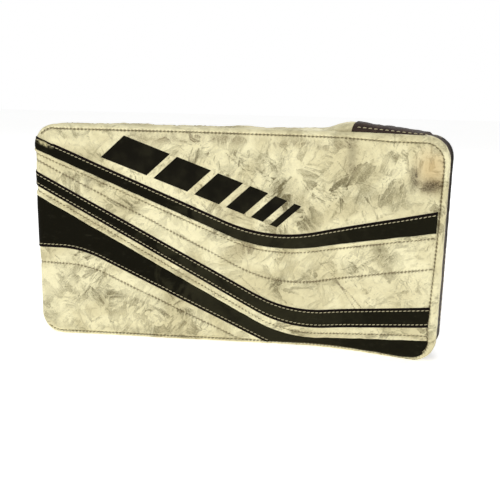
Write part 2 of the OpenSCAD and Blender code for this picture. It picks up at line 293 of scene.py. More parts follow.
def closed_sheet(top, under, wrap=False):
    """Points and faces of a closed body between two grids of points of one shape."""
    n, m = top.shape[:2]
    size = n * m
    faces = grid_faces(n, m, wrap)
    index = np.arange(size).reshape(n, m)
    rims = [index[:, 0], index[::-1, -1]]
    if wrap:
        rims = [np.append(rim, rim[0]) for rim in rims]
    else:
        rims += [index[-1, :], index[0, ::-1]]
    sides = [np.column_stack([rim[:-1], rim[:-1] + size, rim[1:] + size, rim[1:]]) for rim in rims]
    points = np.concatenate([top.reshape(-1, 3), under.reshape(-1, 3)])
    return points, np.concatenate([faces, faces[:, ::-1] + size, *sides])


def add_sheet(name, top, under, material, wrap=False, **attributes):
    """A closed body between two grids, whose attributes are grids too."""
    points, faces = closed_sheet(top, under, wrap)
    doubled = {}
    for key, values in attributes.items():
        flat = values.reshape(-1, 3) if values.ndim == 3 else values.ravel()
        doubled[key] = np.concatenate([flat, flat])
    return add_mesh(name, points, faces, material, **doubled)


def joined(parts):
    """Points and faces of several bodies as one."""
    starts = np.cumsum([0] + [len(points) for points, _ in parts[:-1]])
    points = np.concatenate([points for points, _ in parts])
    faces = np.concatenate([np.asarray(faces) + start for start, (_, faces) in zip(starts, parts)])
    return points, faces


# ---------------------------------------------------------------- stitches


def travel(path):
    """How far along a path each of its points is."""
    return np.concatenate([[0], np.cumsum(np.linalg.norm(np.diff(path, axis=0), axis=1))])


def sampled(places, travelled, values):
    """Vectors given at the distances travelled, read off at places between them."""
    return np.stack([np.interp(places, travelled, values[:, k]) for k in range(3)], -1)


def ringed(rings, first, last):
    """Points and triangles of a body through rings of points, which a point closes at either end."""
    count, sides = rings.shape[:2]
    k = np.arange(sides)
    after = (k + 1) % sides
    faces = []
    for start in range(0, (count - 1) * sides, sides):
        faces.append(np.column_stack([start + k, start + sides + k, start + sides + after]))
        faces.append(np.column_stack([start + k, start + sides + after, start + after]))
    end, tip = (count - 1) * sides, count * sides
    faces.append(np.column_stack([0 * k + tip, k, after]))
    faces.append(np.column_stack([0 * k + tip + 1, end + after, end + k]))
    return np.concatenate([rings.reshape(-1, 3), [first, last]]), np.concatenate(faces)


def capsule(sides=6):
    """Points and triangles of a capsule along X from -0.5 to 0.5, of radius 1."""
    x, radius = np.array([[-0.36, 0.0, 0.36], [0.8, 1.0, 0.8]])[..., None]
    turn = np.arange(sides) * 2 * math.pi / sides
    rings = np.stack(np.broadcast_arrays(x, radius * np.cos(turn), radius * np.sin(turn)), -1)
    return ringed(rings, (-0.5, 0, 0), (0.5, 0, 0))


def stitch_row(path, normals, length=3.1, gap=1.1, thick=0.38, lean=0.12):
    """Points and triangles of stitches along a path, each of which dips into the leather at its ends."""
    points, faces = capsule()
    dip = 0.9 * thick * (2 * points[:, :1]) ** 2
    travelled = travel(path)
    count = int(travelled[-1] / (length + gap))
    middles = (np.arange(count) + 0.5) * travelled[-1] / max(count, 1)
    ends = [sampled(middles + reach, travelled, path) for reach in (-length / 2, length / 2)]
    forwards = unit(ends[1] - ends[0])
    centres, outs = (sampled(middles, travelled, values) for values in (path, normals))
    rows = []
    for centre, normal, forward in zip(centres, outs, forwards):
        normal = unit(normal - forward * (normal @ forward))
        side = np.cross(normal, forward)
        shaped = points[:, :1] * length * (forward + side * lean) + points[:, 1:2] * thick * side
        rows.append((centre + shaped + (points[:, 2:] * thick - dip) * normal, faces))
    return joined(rows)


def stitched_line(line, **kinds):
    """Stitches along line(0.0), where line(out) is the same line, standing out from its surface."""
    start = line(0.0)
    return stitch_row(start, unit(line(0.05) - start), **kinds)


# ---------------------------------------------------------------- materials


def srgb(red, green, blue):
    """A linear colour from 8-bit sRGB."""
    shares = [level / 255 for level in (red, green, blue)]
    linear = [share / 12.92 if share <= 0.04 else ((share + 0.055) / 1.055) ** 2.4 for share in shares]
    return (*linear, 1.0)


class Surface:
    """One procedural material, built node by node from places in the frame, in millimetres."""

    def __init__(self, name, roughness=0.5, specular=0.45):
        self.material = bpy.data.materials.new(name)
        self.material.use_nodes = True
        self.tree = self.material.node_tree
        self.shader = self.tree.nodes["Principled BSDF"]
        self.rough(roughness)
        self.set("Specular IOR Level", specular)
        self.place = self.vector("SCALE", self.node("TexCoord", {}, "Object"), Scale=1 / MM)

    def feed(self, socket, value):
        """Gives a socket its own value, or the output of another node."""
        if isinstance(value, bpy.types.NodeSocket):
            self.tree.links.new(value, socket)
        else:
            socket.default_value = value

    def node(self, kind, inputs, output=0, **settings):
        made = self.tree.nodes.new("ShaderNode" + kind)
        for key, value in settings.items():
            setattr(made, key, value)
        for key, value in inputs.items():
            self.feed(made.inputs[key], value)
        return made.outputs[output]

    def attribute(self, name, output="Fac"):
        return self.node("Attribute", {}, output, attribute_name=name)

    def vector(self, operation, a, b=None, output="Vector", **named):
        inputs = {0: a, **named} if b is None else {0: a, 1: b, **named}
        return self.node("VectorMath", inputs, output, operation=operation)

    def math(self, operation, a, b=0.0):
        return self.node("Math", {0: a, 1: b}, operation=operation)

    def product(self, a, b):
        return self.math("MULTIPLY", a, b)

    def largest(self, *values):
        """The largest of two or more values."""
        most = values[0]
        for value in values[1:]:
            most = self.math("MAXIMUM", most, value)
        return most

    def channel(self, vector, index=0):
        """One of a vector's three numbers."""
        return self.node("SeparateXYZ", {0: vector}, index)

    def noise(self, size, detail=4.0, rough=0.55, distortion=0.0, stretch=(1, 1, 1), shift=0.0, place=None):
        moved = self.node("Mapping", {
            "Vector": self.place if place is None else place,
            "Scale": [s / size for s in stretch],
            "Location": (shift, shift * 0.7, shift * 1.3),
        })
        inputs = {"Detail": detail, "Roughness": rough, "Distortion": distortion}
        return self.node("TexNoise", {"Vector": moved, "Scale": 1.0, **inputs})

    def warp(self, scale, reach):
        """The place in the frame, shifted by up to reach in slow swirls."""
        swirl = self.node("TexNoise", {"Vector": self.place, "Scale": scale, "Detail": 3.0}, 1)
        return self.vector("ADD", self.place, self.vector("SCALE", swirl, Scale=reach))

    def cells(self, size, feature="DISTANCE_TO_EDGE", place=None, **inputs):
        given = {"Vector": self.place if place is None else place, "Scale": 1 / size, **inputs}
        return self.node("TexVoronoi", given, "Distance", feature=feature)

    def span(self, value, low, high, start=0.0, end=1.0):
        """value from low..high to start..end, smoothly and clamped."""
        inputs = {"Value": value, "From Min": low, "From Max": high, "To Min": start, "To Max": end}
        return self.node("MapRange", inputs, interpolation_type="SMOOTHSTEP")

    def mix(self, share, a, b):
        """Colour a where share is 0 and b where it is 1."""
        return self.node("Mix", {0: share, 6: a, 7: b}, 2, data_type="RGBA")

    def colour(self, value):
        self.set("Base Color", value)

    def rough(self, value):
        self.set("Roughness", value)

    def set(self, key, value):
        self.feed(self.shader.inputs[key], value)

    def bump(self, *heights):
        """Relief from (height, depth in millimetres) pairs."""
        normal = None
        for height, depth in heights:
            inputs = {"Height": height, "Distance": depth * MM, "Strength": 1.0}
            if normal is not None:
                inputs["Normal"] = normal
            normal = self.node("Bump", inputs)
        self.set("Normal", normal)


# ---------------------------------------------------------------- finishes


# Every so far along a seam a stitch pulls at the leather, and the seam's grime and painted shade with it
PULL_EVERY = 3.4


def leather_grain(s, depth=0.05, size=1.1):
    """Height of fine leather grain, with the depth it is given."""
    pores = s.cells(size, Randomness=1.0)
    return (s.span(pores, 0.0, 0.25), depth)


def streaks(s, size, angle, low, high, shift):
    """Brushed smudges from 0 to 1, long in one direction of the face, with feathered ends."""
    slanted = s.node("Mapping", {"Vector": s.place, "Rotation": (0, math.radians(angle), 0)})
    stretch = (0.34, 1, 1)
    marks = s.noise(size, detail=9, rough=0.7, distortion=0.9, stretch=stretch, shift=shift, place=slanted)
    return s.span(marks, low, high)


def crumpled(s, size, shift):
    """Painted shade of the crumpled leather's facets, from 0 to 1: brushed marks that change direction from
    one facet to the next, each facet a little lighter or darker.
    """
    facet = s.node("TexVoronoi", {"Vector": s.warp(0.07, 22.0), "Scale": 1 / size}, "Color")
    axis = {"Vector": s.place, "Axis": (0, 1, 0), "Angle": s.product(s.channel(facet), 6.3)}
    brushed = s.noise(
        size * 0.36, detail=8, rough=0.72, distortion=0.5, stretch=(0.24, 1, 1), shift=shift,
        place=s.node("VectorRotate", axis),
    )
    # Each facet a little lighter or darker: painted shade of its tilt
    uneven = s.span(s.channel(facet, 1), 0.0, 1.0, -0.08, 0.05)
    return s.span(s.math("ADD", brushed, uneven), 0.5, 0.61)


def scuffed_leather(name="scuffed_white_leather", facet_shade_and_grime_strength=0.75):
    """White synthetic leather, worn to cream, with olive smudges and the painted shade of its crumpled
    facets, scuffs, cracks, painted shade in its creases, and grime with painted shade along its seams.
    """
    s = Surface(name, specular=0.3)
    cream, pale = srgb(220, 210, 166), srgb(245, 237, 194)
    olive, brown = srgb(108, 97, 61), srgb(84, 64, 36)
    board_place = s.attribute("place", "Vector")
    tone = s.noise(46, detail=4, rough=0.6, distortion=0.6, shift=3.0)
    colour = s.mix(s.span(tone, 0.38, 0.62), cream, pale)

    cloud = s.noise(26, detail=9, rough=0.66, distortion=1.3, shift=1.0)
    broad = s.product(s.span(cloud, 0.48, 0.74), 0.35)
    falling = streaks(s, 8.0, 48, 0.5, 0.7, 7.0)
    rising = streaks(s, 6.5, -38, 0.53, 0.72, 29.0)
    facets = crumpled(s, 19.0, 5.0)
    small_facets = s.product(crumpled(s, 9.0, 15.0), 0.6)
    worn_here = s.span(s.noise(52, detail=3, rough=0.6, distortion=0.8, shift=11.0), 0.4, 0.6, 0.22, 1.0)
    # Olive smudges of dirt, with the crumple facets' painted shade among them
    smudge_and_facet_shade = s.largest(falling, facets, broad, small_facets)
    smudge_and_facet_shade = s.largest(s.product(smudge_and_facet_shade, worn_here), s.product(small_facets, 0.35))
    speck = s.span(s.noise(1.3, detail=3, rough=0.8), 0.32, 0.68, 0.55, 1.2)
    smudge_and_facet_shade = s.product(smudge_and_facet_shade, speck)
    colour = s.mix(s.product(smudge_and_facet_shade, facet_shade_and_grime_strength), colour, olive)

    # The scuffs' texture takes in the facets' painted shade too
    ragged = s.product(s.largest(facets, rising, s.span(cloud, 0.38, 0.66, 0.12, 0.75)), speck)
    texture = {"olive": ragged, "brown": ragged, "dark": s.largest(ragged, 0.4), "tan": 1.0}
    for (a, b), (wide, high), angle, strength, tint in SCUFFS:
        local = s.node("Mapping", {
            "Vector": s.vector("SUBTRACT", board_place, (a, b, 0)),
            "Rotation": (0, 0, -math.radians(angle)),
            "Scale": (1 / wide, 1 / high, 0),
        })
        spot = s.span(s.vector("LENGTH", local, output="Value"), 0.1, 1.1, 1.0, 0.0)
        share = s.product(s.product(spot, texture[tint]), strength)
        colour = s.mix(share, colour, SCUFF_TINTS[tint])

    crack = s.span(s.cells(30, place=s.warp(0.06, 30.0)), 0.0, 0.018, 1.0, 0.0)
    crack = s.product(crack, s.span(s.noise(30, detail=4, shift=21.0), 0.56, 0.68))
    colour = s.mix(s.product(crack, 0.5), colour, olive)
    # Brown along the pressed creases: painted crease shade
    crease = s.span(s.attribute("crease"), 0.15, 1.1, 1.0, 0.0)
    colour = s.mix(s.product(crease, s.span(cloud, 0.36, 0.62, 0.1, 0.8)), colour, brown)
    # Brown along the seams: grime, and painted shade in the seams' dips, which spreads where each stitch
    # pulls
    pulled = s.math("SINE", s.product(s.attribute("run"), 2 * math.pi / PULL_EVERY))
    beside = s.math("ADD", s.attribute("seam"), s.product(pulled, 0.45))
    seam_grime_and_shade = s.span(beside, 0.0, 1.7, 1.0, 0.0)
    colour = s.mix(s.product(seam_grime_and_shade, s.span(cloud, 0.35, 0.6, 0.25, 0.75)), colour, brown)
    s.colour(colour)
    s.rough(s.span(cloud, 0.35, 0.7, 0.5, 0.75))
    wrinkle = s.noise(5.5, detail=7, rough=0.68, distortion=1.2, stretch=(1, 1, 1.6))
    s.bump(leather_grain(s), (wrinkle, 0.45), (s.product(crack, -1.0), 0.25), (facets, 0.3))
    return s.material


def clean_leather(name, colour, dirty, rough=0.5, seam_grime_and_shade=0.4, specular=0.35):
    """Plain leather with slight wear: for bindings, guards and pads."""
    s = Surface(name, specular=specular)
    cloud = s.noise(22, detail=7, rough=0.65, distortion=1.2)
    shade = s.mix(s.product(s.span(cloud, 0.46, 0.72), seam_grime_and_shade), colour, dirty)
    fine = s.noise(3.0, detail=5, rough=0.7)
    shade = s.mix(s.product(s.span(fine, 0.5, 0.75), seam_grime_and_shade * 0.5), shade, dirty)
    s.colour(shade)
    s.rough(s.span(cloud, 0.3, 0.7, rough - 0.06, rough + 0.12))
    s.bump(leather_grain(s), (s.noise(6, detail=5, distortion=1.0), 0.25))
    return s.material


def stripe_leather():
    """Black leather, purplish at its folded edges, and grey away from the finger end, where it is rubbed and
    has a painted sheen.
    """
    s = Surface("black_stripe_leather", specular=0.05)
    # rubbed is the grey of rubbed leather and of the painted sheen
    black, rubbed, folded = srgb(16, 14, 4), srgb(42, 40, 26), srgb(15, 6, 7)
    along = s.channel(s.attribute("place", "Vector"))
    cloud = s.noise(30, detail=6, rough=0.6, distortion=1.0, shift=2.0)
    # Grey beyond about a = 112, fading past 268: rubbed wear, partly a painted sheen
    spread = s.math("ADD", along, s.span(cloud, 0.3, 0.7, -40, 40))
    wear_and_sheen = s.product(s.span(spread, 112, 150), s.span(spread, 268, 320, 1.0, 0.25))
    wear_and_sheen = s.product(wear_and_sheen, s.span(cloud, 0.28, 0.6, 0.3, 1.0))
    scratch = s.span(s.noise(7, detail=6, rough=0.75, stretch=(0.5, 1, 1.6), shift=5), 0.55, 0.75)
    colour = s.mix(s.product(wear_and_sheen, 0.9), black, rubbed)
    colour = s.mix(s.product(scratch, 0.25), colour, srgb(72, 70, 55))
    edge = s.span(s.attribute("edge"), 1.4, 2.4, 1.0, 0.0)
    colour = s.mix(edge, colour, folded)
    worn = s.span(s.attribute("worn"), 0.25, 0.9)
    worn = s.product(worn, s.span(s.noise(4.5, detail=6, rough=0.8, stretch=(1, 1, 0.4)), 0.42, 0.56))
    s.colour(s.mix(worn, colour, srgb(196, 186, 140)))
    s.rough(s.span(cloud, 0.3, 0.7, 0.42, 0.6))
    s.bump(leather_grain(s, 0.04, 0.9), (s.noise(5, detail=5), 0.15))
    return s.material


def emblem_film():
    """Black heat-pressed film, smoother than leather."""
    s = Surface("black_emblem_film", specular=0.05)
    cloud = s.noise(18, detail=5)
    s.colour(s.mix(s.span(cloud, 0.4, 0.7), srgb(17, 15, 7), srgb(32, 30, 19)))
    s.rough(s.span(cloud, 0.3, 0.7, 0.38, 0.5))
    s.bump(leather_grain(s, 0.02, 1.1), (s.noise(8, detail=3), 0.08))
    return s.material


def thread(name, colour, dark):
    """Waxed thread with its twist."""
    s = Surface(name, roughness=0.55)
    twist = s.node("TexWave", {"Vector": s.place, "Scale": 1.1, "Distortion": 2.0, "Detail": 1.0}, "Fac",
                   bands_direction="DIAGONAL")
    s.colour(s.mix(s.product(twist, 0.7), colour, dark))
    s.bump((twist, 0.06))
    return s.material


def suede(name, colour, rubbed, dark):
    """Palm suede: a short nap, rubbed smooth where it is handled, with painted shade in its folds and seams.
    """
    s = Surface(name, specular=0.15)
    cloud = s.noise(17, detail=8, rough=0.65, distortion=1.1)
    shade = s.mix(s.product(s.span(cloud, 0.42, 0.68), 0.8), colour, rubbed)
    nap = s.noise(0.7, detail=4, rough=0.8)
    shade = s.mix(s.product(s.span(nap, 0.42, 0.68), 0.35), shade, dark)
    # Painted shade in the folds and seams, from the fold attribute
    fold = s.product(s.attribute("fold"), s.span(cloud, 0.25, 0.6, 0.5, 0.95))
    s.colour(s.mix(fold, shade, dark))
    s.rough(s.span(cloud, 0.35, 0.7, 0.92, 0.72))
    s.bump((nap, 0.09), (s.noise(4.5, detail=6, rough=0.65, distortion=1.0), 0.3))
    return s.material


def air_mesh(name, colour, hole):
    """Knitted air mesh over foam: rows of small holes in a fuzzy knit, with the hole colour painted as shade
    in its sewn channels.
    """
    s = Surface(name, roughness=0.85, specular=0.1)
    holes = s.span(s.cells(2.6, "F1", Randomness=0.12), 0.22, 0.4)
    knit = s.noise(0.5, detail=3, rough=0.7, stretch=(1, 1, 2))
    cloud = s.noise(24, detail=6, rough=0.6)
    shade = s.mix(s.product(s.span(cloud, 0.42, 0.7), 0.5), colour, srgb(104, 98, 88))
    shade = s.mix(s.product(s.span(knit, 0.4, 0.65), 0.3), shade, hole)
    shade = s.mix(holes, hole, shade)
    # Painted shade in the sewn channels
    s.colour(s.mix(s.attribute("fold"), shade, hole))
    s.bump((holes, 0.5), (knit, 0.12))
    return s.material


def webbing(name, colour, dark):
    """Woven strap webbing with a diagonal twill."""
    s = Surface(name, roughness=0.7, specular=0.15)
    twill = s.node("TexWave", {"Vector": s.place, "Scale": 0.32, "Distortion": 0.5, "Detail": 1.0}, "Fac",
                   bands_direction="DIAGONAL")
    ribs = s.node("TexWave", {"Vector": s.place, "Scale": 0.2, "Distortion": 0.3}, "Fac", bands_direction="X")
    cloud = s.noise(14, detail=6, rough=0.65)
    shade = s.mix(s.product(twill, 0.6), dark, colour)
    s.colour(s.mix(s.product(s.span(cloud, 0.48, 0.72), 0.5), shade, srgb(96, 90, 78)))
    s.bump((twill, 0.2), (ribs, 0.15))
    return s.material


def hook_and_loop(name, colour, dark):
    """The matted loops or hooks of a fastener."""
    s = Surface(name, roughness=0.95, specular=0.08)
    tufts = s.cells(0.9, "F1", Randomness=1.0)
    matted = s.noise(6, detail=8, rough=0.75, distortion=1.5)
    shade = s.mix(s.span(tufts, 0.1, 0.7), colour, dark)
    s.colour(s.mix(s.product(s.span(matted, 0.5, 0.7), 0.5), shade, srgb(112, 106, 94)))
    s.bump((tufts, -0.4), (matted, 0.35))
    return s.material


def foam(name, colour, shade):
    """Closed-cell foam with a fine skin of cells."""
    s = Surface(name, roughness=0.9, specular=0.15)
    pores = s.cells(0.8, Randomness=1.0)
    cloud = s.noise(28, detail=5)
    tone = s.mix(s.span(cloud, 0.35, 0.7), colour, shade)
    s.colour(s.mix(s.span(pores, 0.0, 0.2, 0.5, 0.0), tone, shade))
    s.bump((s.span(pores, 0.0, 0.2), 0.12))
    return s.material


def moulded_plastic(name, colour, shade, roughness):
    """Moulded plastic with a fine texture and a few scratches."""
    s = Surface(name, specular=0.35)
    cloud = s.noise(20, detail=6, rough=0.6)
    scratch = s.span(s.noise(3, detail=7, rough=0.8, stretch=(0.2, 1, 1)), 0.6, 0.72)
    s.colour(s.mix(s.product(s.largest(scratch, s.span(cloud, 0.4, 0.75)), 0.6), colour, shade))
    s.rough(s.span(cloud, 0.3, 0.7, roughness, roughness + 0.15))
    s.bump((s.noise(0.6, detail=3), 0.04), (scratch, -0.05))
    return s.material


def plated_steel(name):
    """Zinc-plated steel, slightly dulled."""
    s = Surface(name, specular=0.5)
    cloud = s.noise(5, detail=7, rough=0.7, distortion=0.8)
    s.colour(s.mix(s.span(cloud, 0.35, 0.7), srgb(196, 194, 186), srgb(150, 144, 130)))
    s.set("Metallic", 1.0)
    s.rough(s.span(cloud, 0.3, 0.7, 0.28, 0.45))
    s.bump((s.noise(0.8, detail=4, stretch=(1, 0.2, 1)), 0.02))
    return s.material


SCUFF_TINTS = {
    "olive": srgb(100, 91, 56),
    "brown": srgb(98, 79, 48),
    "dark": srgb(58, 46, 28),
    "tan": srgb(206, 180, 128),
}
# Scuffs on the cover, as ((a, b), (reach along, reach across), angle, strength, tint)
SCUFFS = [
    # upper panel, from the forearm end's brown rub to the finger end
    ((368, 176), (22, 26), 0, 0.8, "tan"),
    ((368, 162), (22, 12), -10, 1, "brown"),
    ((368, 161), (16, 8), -10, 0.8, "dark"),
    ((354, 168), (7, 16), -35, 1, "dark"),
    ((326, 152), (45, 25), 12, 0.7, "olive"),
    ((286, 150), (40, 25), 18, 0.8, "olive"),
    ((296, 184), (10, 24), 12, 1, "brown"),
    ((297, 184), (6, 20), -15, 0.8, "dark"),
    ((232, 160), (14, 34), 34, 0.9, "olive"),
    ((206, 168), (44, 26), 30, 0.8, "olive"),
    ((238, 140), (30, 26), -30, 0.8, "olive"),
    ((256, 126), (18, 18), 0, 0.8, "olive"),
    ((190, 128), (34, 12), -24, 0.7, "brown"),
    ((150, 195), (90, 8), 0, 0.8, "brown"),
    ((150, 180), (30, 12), 0, 0.7, "olive"),
    ((96, 185), (24, 14), -25, 0.8, "brown"),
    ((48, 170), (30, 22), 20, 0.6, "olive"),
    ((50, 149), (6, 17), 0, 0.5, "dark"),
    ((30, 195), (40, 6), 0, 0.5, "olive"),
    ((260, 192), (60, 8), 0, 0.5, "brown"),
    # between the upper and the middle stripe
    ((86, 130), (24, 10), -30, 0.7, "olive"),
    ((175, 107), (24, 10), -24, 0.5, "dark"),
    ((196, 91), (20, 14), -20, 0.9, "brown"),
    # middle panel
    ((232, 60), (12, 16), 30, 0.9, "olive"),
    ((262, 66), (16, 14), -40, 0.9, "olive"),
    ((330, 96), (18, 14), 10, 0.9, "olive"),
    ((352, 112), (30, 10), 8, 0.7, "olive"),
    ((300, 78), (24, 12), 20, 0.6, "olive"),
    ((262, 28), (24, 14), -30, 0.6, "olive"),
    ((312, 26), (14, 8), -40, 0.8, "olive"),
    # lower panel
    ((30, 67), (20, 14), 30, 0.9, "olive"),
    ((46, 83), (26, 14), -20, 0.7, "olive"),
    ((62, 43), (30, 18), 20, 0.6, "olive"),
    ((130, 33), (45, 18), 0, 0.6, "olive"),
    ((10, 20), (12, 20), 0, 0.7, "olive"),
    ((90, 6), (120, 7), 0, 0.5, "olive"),
]

# ---------------------------------------------------------------- the face

UPPER_TOP = knee_line(194, (225, 101), 140.5, 45)
UPPER_BOTTOM = knee_line(181, (225, 88), 120.8, 45)
MIDDLE_TOP = knee_line(160.5, (245, 32), 52.8, 35)
MIDDLE_BOTTOM = knee_line(146.5, (245, 14), 33.5, 35)
LOWER_TOP = knee_line(137.5, (244, 5), 21.2, 35)
LOWER_BOTTOM = knee_line(86.5, (42, 86), -74, 20)
# Stitched lines on the white panels
PANEL_SEAMS = {
    "under_upper_stripe": knee_line(177.5, (225, 84), 116.5, 45),
    "middle_panel": knee_line(171, (232, 56), 88.5, 40),
    "over_lower_stripe": knee_line(142, (244, 8.5), 25, 35),
    "lower_panel": knee_line(71, (48, 70), -81, 20),
}
# Soft creases pressed into the cover, as [(a, b), ...]
CREASES = [
    [(196, 66), (214, 50), (226, 31), (232, 24)],
    [(118, 56), (134, 38), (141, 24)],
    [(270, 84), (286, 70), (296, 56), (306, 42)],
    [(286, 66), (300, 56), (312, 44)],
    [(250, 160), (262, 146), (274, 132)],
    [(284, 178), (298, 162), (304, 156)],
    [(182, 182), (200, 166), (214, 148), (226, 132)],
    [(88, 176), (96, 158), (98, 152)],
    [(232, 26), (240, 12), (246, 4)],
]
WAVER = 0.45
SEAM_DIP = 0.55
SEAM_HALF = 1.7
PILLOW = 0.7
PILLOW_REACH = 7.0
CREASE_DIP = 0.45
CREASE_HALF = 1.5
# The share of the cover's relief that shows through a stripe
ON_STRIPES = 0.7
# Distances that stand for "nowhere near": in the code, and in a material's seams and creases
FAR = 1e3
UNMARKED = 9.0


def waver(a, seed):
    """The slight wandering of a line sewn by hand, as a rise at a."""
    return WAVER * waves(a, np.zeros_like(a), size=26, seed=seed, octaves=2)


# Insets of the binding's seam, at places along the top and round the forearm end
BORDER_PLACES = (0, 150, 290, 330, 375)
BORDER_TOP = (2.4, 2.4, 3.6, 5.0, 4.4)
SIDE_PLACES = (FOREARM_S - ARC / 2, FOREARM_S + 6, FOREARM_S + 80, FOREARM_S + STRAIGHT[1] - 10, BOTTOM_S + 6)
BORDER_SIDE = (BORDER_TOP[-1], 2.4, 3.8, 6.4, 1.8)


def border_inset(s):
    """Inset of the seam inside the edge binding, widest by the bend and near the forearm end's foot."""
    s = s % ROUND_S
    top = np.interp(s + CORNER_R, BORDER_PLACES, BORDER_TOP)
    return np.where(s < SIDE_PLACES[0], top, np.interp(s, SIDE_PLACES, BORDER_SIDE))


def outline_inset(a, b):
    """Inset of (a, b) from the nearest side of the outline, the distance s round it there, and that side."""
    wanted = np.stack(np.broadcast_arrays(a, b), -1).astype(float)
    a, b = wanted[..., 0], wanted[..., 1]
    to_sides = np.stack([BOARD_W - b, BOARD_L - a, b, a], -1)
    side = to_sides.argmin(-1)
    from_start = np.clip(wanted, CORNER_R, INNER) - CORNER_R
    to_end = np.array(STRAIGHT) - from_start
    along = np.choose(side, [from_start[..., 0], to_end[..., 1], to_end[..., 0], from_start[..., 1]])
    return to_sides.min(-1), SIDE_STARTS[side] + along, side


def to_polyline(points, a, b):
    """Distance from (a, b) to a line through points."""
    places = np.stack(np.broadcast_arrays(a, b), -1).astype(float)
    nearest = np.full(places.shape[:-1], FAR)
    for start, end in zip(np.array(points[:-1], float), np.array(points[1:], float)):
        span = end - start
        share = clamped(((places - start) @ span) / (span @ span))
        nearest = np.minimum(nearest, np.linalg.norm(places - start - share[..., None] * span, axis=-1))
    return nearest


def seam_distance(a, b):
    """Distance from the nearest seam in the white panels."""
    nearest = np.full(np.broadcast(a, b).shape, FAR)
    for seed, line in enumerate(PANEL_SEAMS.values()):
        nearest = np.minimum(nearest, np.abs(across(line, a, b - waver(a, seed))))
    inset, s, side = outline_inset(a, b)
    border = np.abs(inset - border_inset(s)) + np.where(side == BOTTOM, 0.9, 0)
    return np.minimum(nearest, np.where(side == FINGER_END, FAR, border))


def seam_run(a, b):
    """Distance along the nearest seam, for the small puckers its stitches pull."""
    inset, s, side = outline_inset(a, b)
    by_border = (np.abs(inset - border_inset(s)) < 4) & (side != FINGER_END)
    return np.where(by_border, s, a * 1.12)


def crease_distance(a, b):
    bend = 2.2 * waves(a, b, size=16, seed=40, octaves=2)
    return np.min([to_polyline(points, a + bend, b - bend) for points in CREASES], axis=0)


def puckers(a, b, distance):
    """Small ripples that seams pull into the leather beside them."""
    return 0.32 * waves(a, b, size=5.5, seed=9, octaves=2) * np.exp(-distance / 3.5)


def relief(a, b):
    """How far the cover stands proud of the board: soft panels between seams, puckers and creases."""
    a, b = np.broadcast_arrays(np.asarray(a, float), np.asarray(b, float))
    distance = seam_distance(a, b)
    height = PILLOW * (1 - np.exp(-distance / PILLOW_REACH)) - SEAM_DIP * bell(distance, SEAM_HALF)
    height = height + 0.45 * waves(a, b, size=55, seed=1, octaves=3) + puckers(a, b, distance)
    height = height - CREASE_DIP * bell(crease_distance(a, b), CREASE_HALF)
    return height * ramp(outline_inset(a, b)[0], -FACE_REACH - 6, -FACE_REACH + 2)


# How far the cover runs down the side walls, the step of its mesh and its thickness
WRAP_DOWN = 6.0
COVER_STEP = 1.4
COVER_T = 1.2


def face_cover(material):
    """The white cover, from side wall to side wall over the rolled rim."""
    a, b = over_board(WRAP_DOWN, COVER_STEP)
    height = relief(a, b)
    return add_sheet(
        "face_cover_leather", on_board(a, b, height), on_board(a, b, height - COVER_T), material,
        place=flat_place(a, b), seam=seam_distance(a, b), crease=crease_distance(a, b), run=seam_run(a, b),
    )


FOLD_W = 4.6
FOLD_T = 1.25


def folded_edges(material):
    """White leather folded over along the tucked edges of the upper and lower stripes."""
    parts, places = [], []
    for line, side, a_end in ((UPPER_BOTTOM, -1, BOARD_L - 5.5), (LOWER_TOP, 1, BOARD_L - 6.0)):
        a, off = grid(spaced(-FACE_REACH - 1, a_end, 1.3), FOLD_W * spaced(0, 1, 0.08) ** 1.5)
        wander = 0.35 * waves(a, np.zeros_like(a), size=12, seed=45 + side, octaves=2)
        b = line(a) + side * (off * steepness(line, a) - 0.3 + wander)
        rise = FOLD_T * quarter_round(off, 1.1) * bell(np.maximum(off - 1.2, 0), 1.9)
        rise = rise - 0.25 * clamped(off / FOLD_W)
        rise = rise * (1 + 0.25 * waves(a, b, size=7, seed=46, octaves=2))
        base = relief(a, b)
        grids = on_board(a, b, base + rise), on_board(a, b, base - 0.8)
        parts.append(closed_sheet(*grids[::side]))
        places += [flat_place(a, b).reshape(-1, 3)] * 2
    places = np.concatenate(places)
    unmarked = np.full(len(places), UNMARKED)
    return add_mesh(
        "folded_edges_leather", *joined(parts), material, place=places, seam=unmarked, crease=unmarked,
    )


STRIPE_T = 0.8
STRIPE_FOLD = 1.1
LOW_EDGE = -1.0
# Distances from a stripe's edges at which its mesh has a line of its own, for the fold there
EDGE_LINES = np.array([0, 0.3, 0.7, 1.2, 2.0])


def stripe(name, top, bottom, a_range, material, tucked="", worn=None):
    """A black stripe sewn to the face between two lines, with folded edges except where it is tucked."""
    a = spaced(*a_range, 1.6)
    widest = (top(a) - bottom(a)).max()
    lines = EDGE_LINES / widest
    a, share = grid(a, np.unique(np.concatenate([spaced(0, 1, 1.3 / widest), lines, 1 - lines])))
    low = np.maximum(bottom(a), LOW_EDGE)
    high = np.maximum(top(a), low + 0.01)
    b = low + (high - low) * share
    from_edge = {"bottom": b - low, "top": high - b}
    nearest = np.min([FAR + 0 * b if edge == tucked else away for edge, away in from_edge.items()], axis=0)
    rib, groove = bell(nearest - 1.4, 1.1), bell(nearest - 2.9, 0.8)
    thick = STRIPE_T * quarter_round(nearest, STRIPE_FOLD) + 0.35 * rib - 0.35 * groove
    if tucked:
        thick = thick * clamped(0.35 + from_edge[tucked] / 3)
    thick = thick * clamped((a - a.min()) / 6) ** 0.6
    base = relief(a, b) * ON_STRIPES
    return add_sheet(
        name, on_board(a, b, base + thick), on_board(a, b, base - 0.9), material,
        place=flat_place(a, b), edge=nearest, worn=worn(a, b) if worn else np.zeros_like(a),
    )


def end_scuff(a, b):
    """Where the upper stripe is rubbed through at the finger end."""
    return bell(a - 9, 10) * clamped(1 - np.abs(UPPER_TOP(a) - b - 4) / 4.5)


